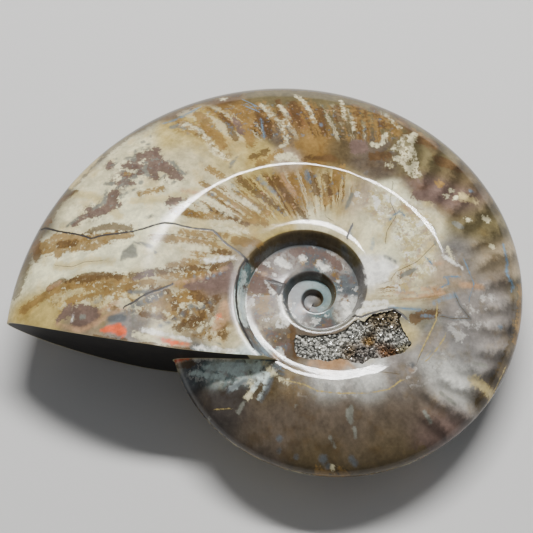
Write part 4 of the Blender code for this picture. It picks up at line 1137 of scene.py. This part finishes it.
def shellMaterial(ragged):
    made, shader = newMaterial("polished_shell")
    tree = made.node_tree
    tools = toolsFor(tree)
    put, calc, times, blend, noise, spread, read, bump = tools
    place, lines = millimetres(tools), read("lines", "Vector")
    lengthwise = times(lines, lineStretch)
    fields = {name: noise(lengthwise, *settings) for name, settings in lineNoises.items()}
    fields.update({name: noise(place, *settings) for name, settings in noises.items()})
    coarse, fine = fields["coarse"], fields["fine"]
    wavering = put("VectorMath", lines, times(streams["push"], fine), operation="ADD")
    fields["streams"] = noise(times(wavering, streams["stretch"]), *streams["noise"])
    for name, (first, second, share) in mixes.items():
        first = calc("MULTIPLY", fields[first], 1 - share)
        fields[name] = calc("ADD", first, calc("MULTIPLY", fields[second], share))
    frays = fields["evenFray"], fields["oddFray"]
    masks = {name: spread(read(name), *shellFinish["zoneEdge"]) for name in zones}
    # streaks that follow the growth lines, lighter and darker than the ground, and a blotchy mottle
    streaks = spread(fields["streaks"], *shellFinish["streaks"])
    shade = calc("MULTIPLY", streaks, spread(coarse, *shellFinish["mottle"]))
    colour = times(read("ground", "Color"), shade)
    golden = spread(fields["golden"], *shellFinish["golden"])
    colour = blend(golden, colour, times(colour, shellFinish["goldenTint"]))

    def blotched(colour, kinds):
        for zone, field, low, high, strength, tone in kinds:
            mask = calc("MULTIPLY", calc("MULTIPLY", spread(fields[field], low, high), masks[zone]), strength)
            colour = blend(mask, colour, tones[tone])
        return colour

    colour = blotched(colour, blotches)
    for index, (name, kind) in enumerate(marks.items()):
        node = tree.nodes.new("ShaderNodeGroup")
        node.node_tree = ragged
        tree.links.new(read(name), node.inputs["Depth"])
        tree.links.new(frays[index % 2], node.inputs["Noise"])
        for socket in ("Rag", "Soft", "Strength"):
            node.inputs[socket].default_value = kind[socket.lower()]
        colour = blend(node.outputs[0], colour, times(tones[name], shade))
    colour = blotched(colour, lateBlotches)
    for name, kind in veins.items():
        near = calc("ADD", read(name + "Near"), shellFinish["veinReach"])
        depth = calc("MINIMUM", calc("SUBTRACT", kind["width"], calc("ABSOLUTE", read(name + "Side"))), near)
        moved = calc("SUBTRACT", fine, shellFinish["veinMiddle"])
        frayed = calc("MULTIPLY_ADD", moved, kind["rag"] * fray["reach"], depth)
        line = spread(frayed, -kind["soft"], kind["soft"])
        colour = blend(line, colour, tones[kind["tone"]])
        if name == "crack":
            cracks = line
    # fine grain and soft ribs
    colour = times(colour, spread(fields["grain"], *shellFinish["grain"]))
    ribSpacing = shellFinish["ribsATurn"] / pattern["lineScale"]
    wander = calc("MULTIPLY", coarse, shellFinish["ribWander"])
    ribs = calc("SINE", calc("MULTIPLY_ADD", put("SeparateXYZ", lines), ribSpacing, wander))
    ribs = calc("MULTIPLY", ribs, masks["ribbed"])
    colour = times(colour, calc("MULTIPLY_ADD", ribs, shellFinish["ribs"], 1.0))
    tree.links.new(colour, shader.inputs["Base Color"])
    shader.inputs["Specular IOR Level"].default_value = shellFinish["specular"]
    dull = calc("MULTIPLY_ADD", read("worn"), shellFinish["worn"], shellFinish["roughness"])
    dull = calc("MULTIPLY_ADD", cracks, shellFinish["crackRoughness"], dull)
    tree.links.new(dull, shader.inputs["Roughness"])
    height = calc("SUBTRACT", fields["bumps"], calc("MULTIPLY", cracks, shellFinish["crackBump"]))
    bump(shader, height, shellFinish["bump"])
    return made


# The two plain minerals; the end's rim shows the shell's thickness in another tone. The ground end's stone is
# painted near black, far darker than its own brown-grey, as painted shade
groundEnd = {"light": (0.016, 0.013, 0.010), "dark": (0.005, 0.004, 0.004), "scale": 1.0, "roughness": 0.5,
             "specular": 0.2, "bump": 0.05, "rim": (0.25, 0.55, 1.0, 0.0), "rimTone": "beige"}
brokenWall = {"light": (0.42, 0.40, 0.34), "dark": (0.07, 0.065, 0.055), "scale": 2.4, "roughness": 0.45,
              "specular": 0.2, "bump": 0.15}
# How the faces of the end and of the pocket's walls are told from the rest
ends = {"slack": 0.12, "facing": -0.75, "rimSlack": 0.15, "noRim": 9.0}
walls = {"depth": 0.3, "steepness": 0.5, "nearness": 0.4}


def mineralMaterial(name, grain, finish):
    made, shader = newMaterial(name)
    tree = made.node_tree
    tools = toolsFor(tree)
    node = tree.nodes.new("ShaderNodeGroup")
    node.node_tree = grain
    node.inputs["Light"].default_value = (*finish["light"], 1)
    node.inputs["Dark"].default_value = (*finish["dark"], 1)
    node.inputs["Scale"].default_value = finish["scale"]
    colour = node.outputs[0]
    if "rim" in finish:
        rim = tools.spread(tools.read("edge"), *finish["rim"])
        colour = tools.blend(rim, colour, tones[finish["rimTone"]])
    tree.links.new(colour, shader.inputs["Base Color"])
    shader.inputs["Roughness"].default_value = finish["roughness"]
    shader.inputs["Specular IOR Level"].default_value = finish["specular"]
    tools.bump(shader, node.outputs["Height"], finish["bump"])
    return made


def finishShell(data, points, ragged, grain):
    # Three finishes: the polished shell, the ground end and the broken walls of the pocket
    data.materials.clear()
    data.materials.append(shellMaterial(ragged))
    data.materials.append(mineralMaterial("ground_end", grain, groundEnd))
    data.materials.append(mineralMaterial("broken_wall", grain, brokenWall))
    centres = coilPlaces(data.polygons, "center")
    normals = np.empty(len(centres) * 3)
    data.polygons.foreach_get("normal", normals)
    normals = normals.reshape(-1, 3) @ np.array(restMatrix.to_3x3())
    onEnd = (np.abs(insideCut(centres)) < ends["slack"]) & (normals @ cutInward < ends["facing"])
    onEnd &= (centres - tipPoint) @ cutAlong > 0
    above = centres[:, 2] > 0
    depth = upperFlank(centres[:, 0], centres[:, 1]) - centres[:, 2]
    broken = insideOutline(pocket["outline"], centres[:, :2]) & (depth > walls["depth"])
    steep = np.abs(normals[:, 2]) < walls["steepness"]
    broken |= steep & (outlineDistance(pocket["outline"], centres[:, :2]) < walls["nearness"])
    broken &= above
    data.polygons.foreach_set("material_index", np.where(onEnd, 1, np.where(broken, 2, 0)).astype(np.int32))
    spots = np.column_stack([(points - tipPoint) @ cutAlong, points[:, 2]])
    near = np.abs(insideCut(points)) < ends["rimSlack"]
    distance = np.full(len(points), ends["noRim"])
    distance[near] = outlineDistance(endOutline, spots[near])
    addValues(data, "edge", distance)
    print("ground end", int(onEnd.sum()), "faces, broken walls", int(broken.sum()))


def crystalMaterial():
    made, shader = newMaterial("crystal_crust")
    tools = toolsFor(made.node_tree)
    curved = tools.calc("POWER", tools.read("tint"), crystals["shadeCurve"])
    shade = tools.put("MapRange", curved, 0.0, 1.0, *crystals["shade"])
    made.node_tree.links.new(tools.times(tools.read("ground", "Color"), shade), shader.inputs["Base Color"])
    for socket, value in (("Roughness", "roughness"), ("IOR", "ior"), ("Coat Weight", "coat"),
                          ("Coat Roughness", "coatRoughness")):
        shader.inputs[socket].default_value = crystals[value]
    return made


# The camera; shift and distance are millimetres from the coil's middle
view = {"pitch": 65.735, "roll": 0.1356, "shift": (12.0085, -10.2010), "distance": 327.698,
        "focalPixels": 1300.0, "imagePixels": 533, "sensor": 36, "clip": (0.01, 10)}


def makeCamera():
    pitch, roll = math.radians(view["pitch"]), math.radians(view["roll"])
    up, level = math.sin(pitch), math.cos(pitch)
    lookDown = Matrix(((1, 0, 0), (0, up, level), (0, -level, up)))
    sway = Matrix(((math.cos(roll), 0, math.sin(roll)), (0, 1, 0), (-math.sin(roll), 0, math.cos(roll))))
    axes = (lookDown @ sway).transposed()
    place = axes @ Vector((-view["shift"][0], -view["shift"][1], view["distance"]))
    data = bpy.data.cameras.new("camera")
    data.sensor_width = view["sensor"]
    data.lens = data.sensor_width * view["focalPixels"] / view["imagePixels"]
    data.clip_start, data.clip_end = view["clip"]
    camera = newObject("camera", data)
    camera.matrix_world = restMatrix @ Matrix.Translation(place * mm) @ axes.to_4x4()
    bpy.context.scene.camera = camera


studio = {"halfFloor": 1.5, "floorColour": (0.62, 0.61, 0.595), "floorRoughness": 0.7,
          "roomColour": (0.93, 0.96, 1), "room": 0.22}


def makeFloor():
    data, side = bpy.data.meshes.new("floor"), studio["halfFloor"]
    corners = [(-side, -side, 0), (side, -side, 0), (side, side, 0), (-side, side, 0)]
    data.from_pydata(corners, [], [(0, 1, 2, 3)])
    made, shader = newMaterial("floor")
    shader.inputs["Base Color"].default_value = (*studio["floorColour"], 1)
    shader.inputs["Roughness"].default_value = studio["floorRoughness"]
    data.materials.append(made)
    newObject("floor", data)


# A long window with upright blinds, behind the fossil and high up; its lengths are in metres
window = {"distance": 1.0, "fromVertical": 34.0, "azimuth": 82.0, "width": 0.64, "height": 0.1,
          "radiance": 88.0, "slats": 36, "slatShade": 0.9}


def makeLights():
    world = bpy.data.worlds.new("studio")
    world.use_nodes = True
    room = world.node_tree.nodes["Background"].inputs
    room["Color"].default_value, room["Strength"].default_value = (*studio["roomColour"], 1), studio["room"]
    bpy.context.scene.world = world
    data = bpy.data.lights.new("window", "AREA")
    data.shape = "RECTANGLE"
    data.size, data.size_y = window["width"], window["height"]
    data.energy = window["radiance"] * window["width"] * window["height"] * math.pi
    data.use_nodes = True
    tools = toolsFor(data.node_tree)
    along = tools.put("SeparateXYZ", tools.put("NewGeometry", out="Parametric"))
    wave = tools.calc("SINE", tools.calc("MULTIPLY", along, window["slats"] * turn))
    blinds = tools.calc("MULTIPLY_ADD", wave, window["slatShade"], 1)
    data.node_tree.links.new(blinds, data.node_tree.nodes["Emission"].inputs["Strength"])
    across, away = math.radians(window["azimuth"]), math.radians(window["fromVertical"])
    facing = Vector((math.cos(across) * math.sin(away), math.sin(across) * math.sin(away), math.cos(away)))
    sideways = Vector((-math.sin(across), math.cos(across), 0))
    axes = Matrix((sideways, facing.cross(sideways), facing)).transposed()
    lamp = newObject("window", data)
    lamp.matrix_world = Matrix.Translation(facing * window["distance"]) @ axes.to_4x4()


shell = makeShell()
shellPoints = paintShell(shell.data)
ragged, grain = raggedGroup(), grainGroup()
finishShell(shell.data, shellPoints, ragged, grain)
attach(shell, "root")
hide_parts("ammonite_shell")
crust = makeCrust()
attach(crust, "root")
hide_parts("crystal_crust")
makeCamera()
makeFloor()
makeLights()
print("camera, floor and lights are set")
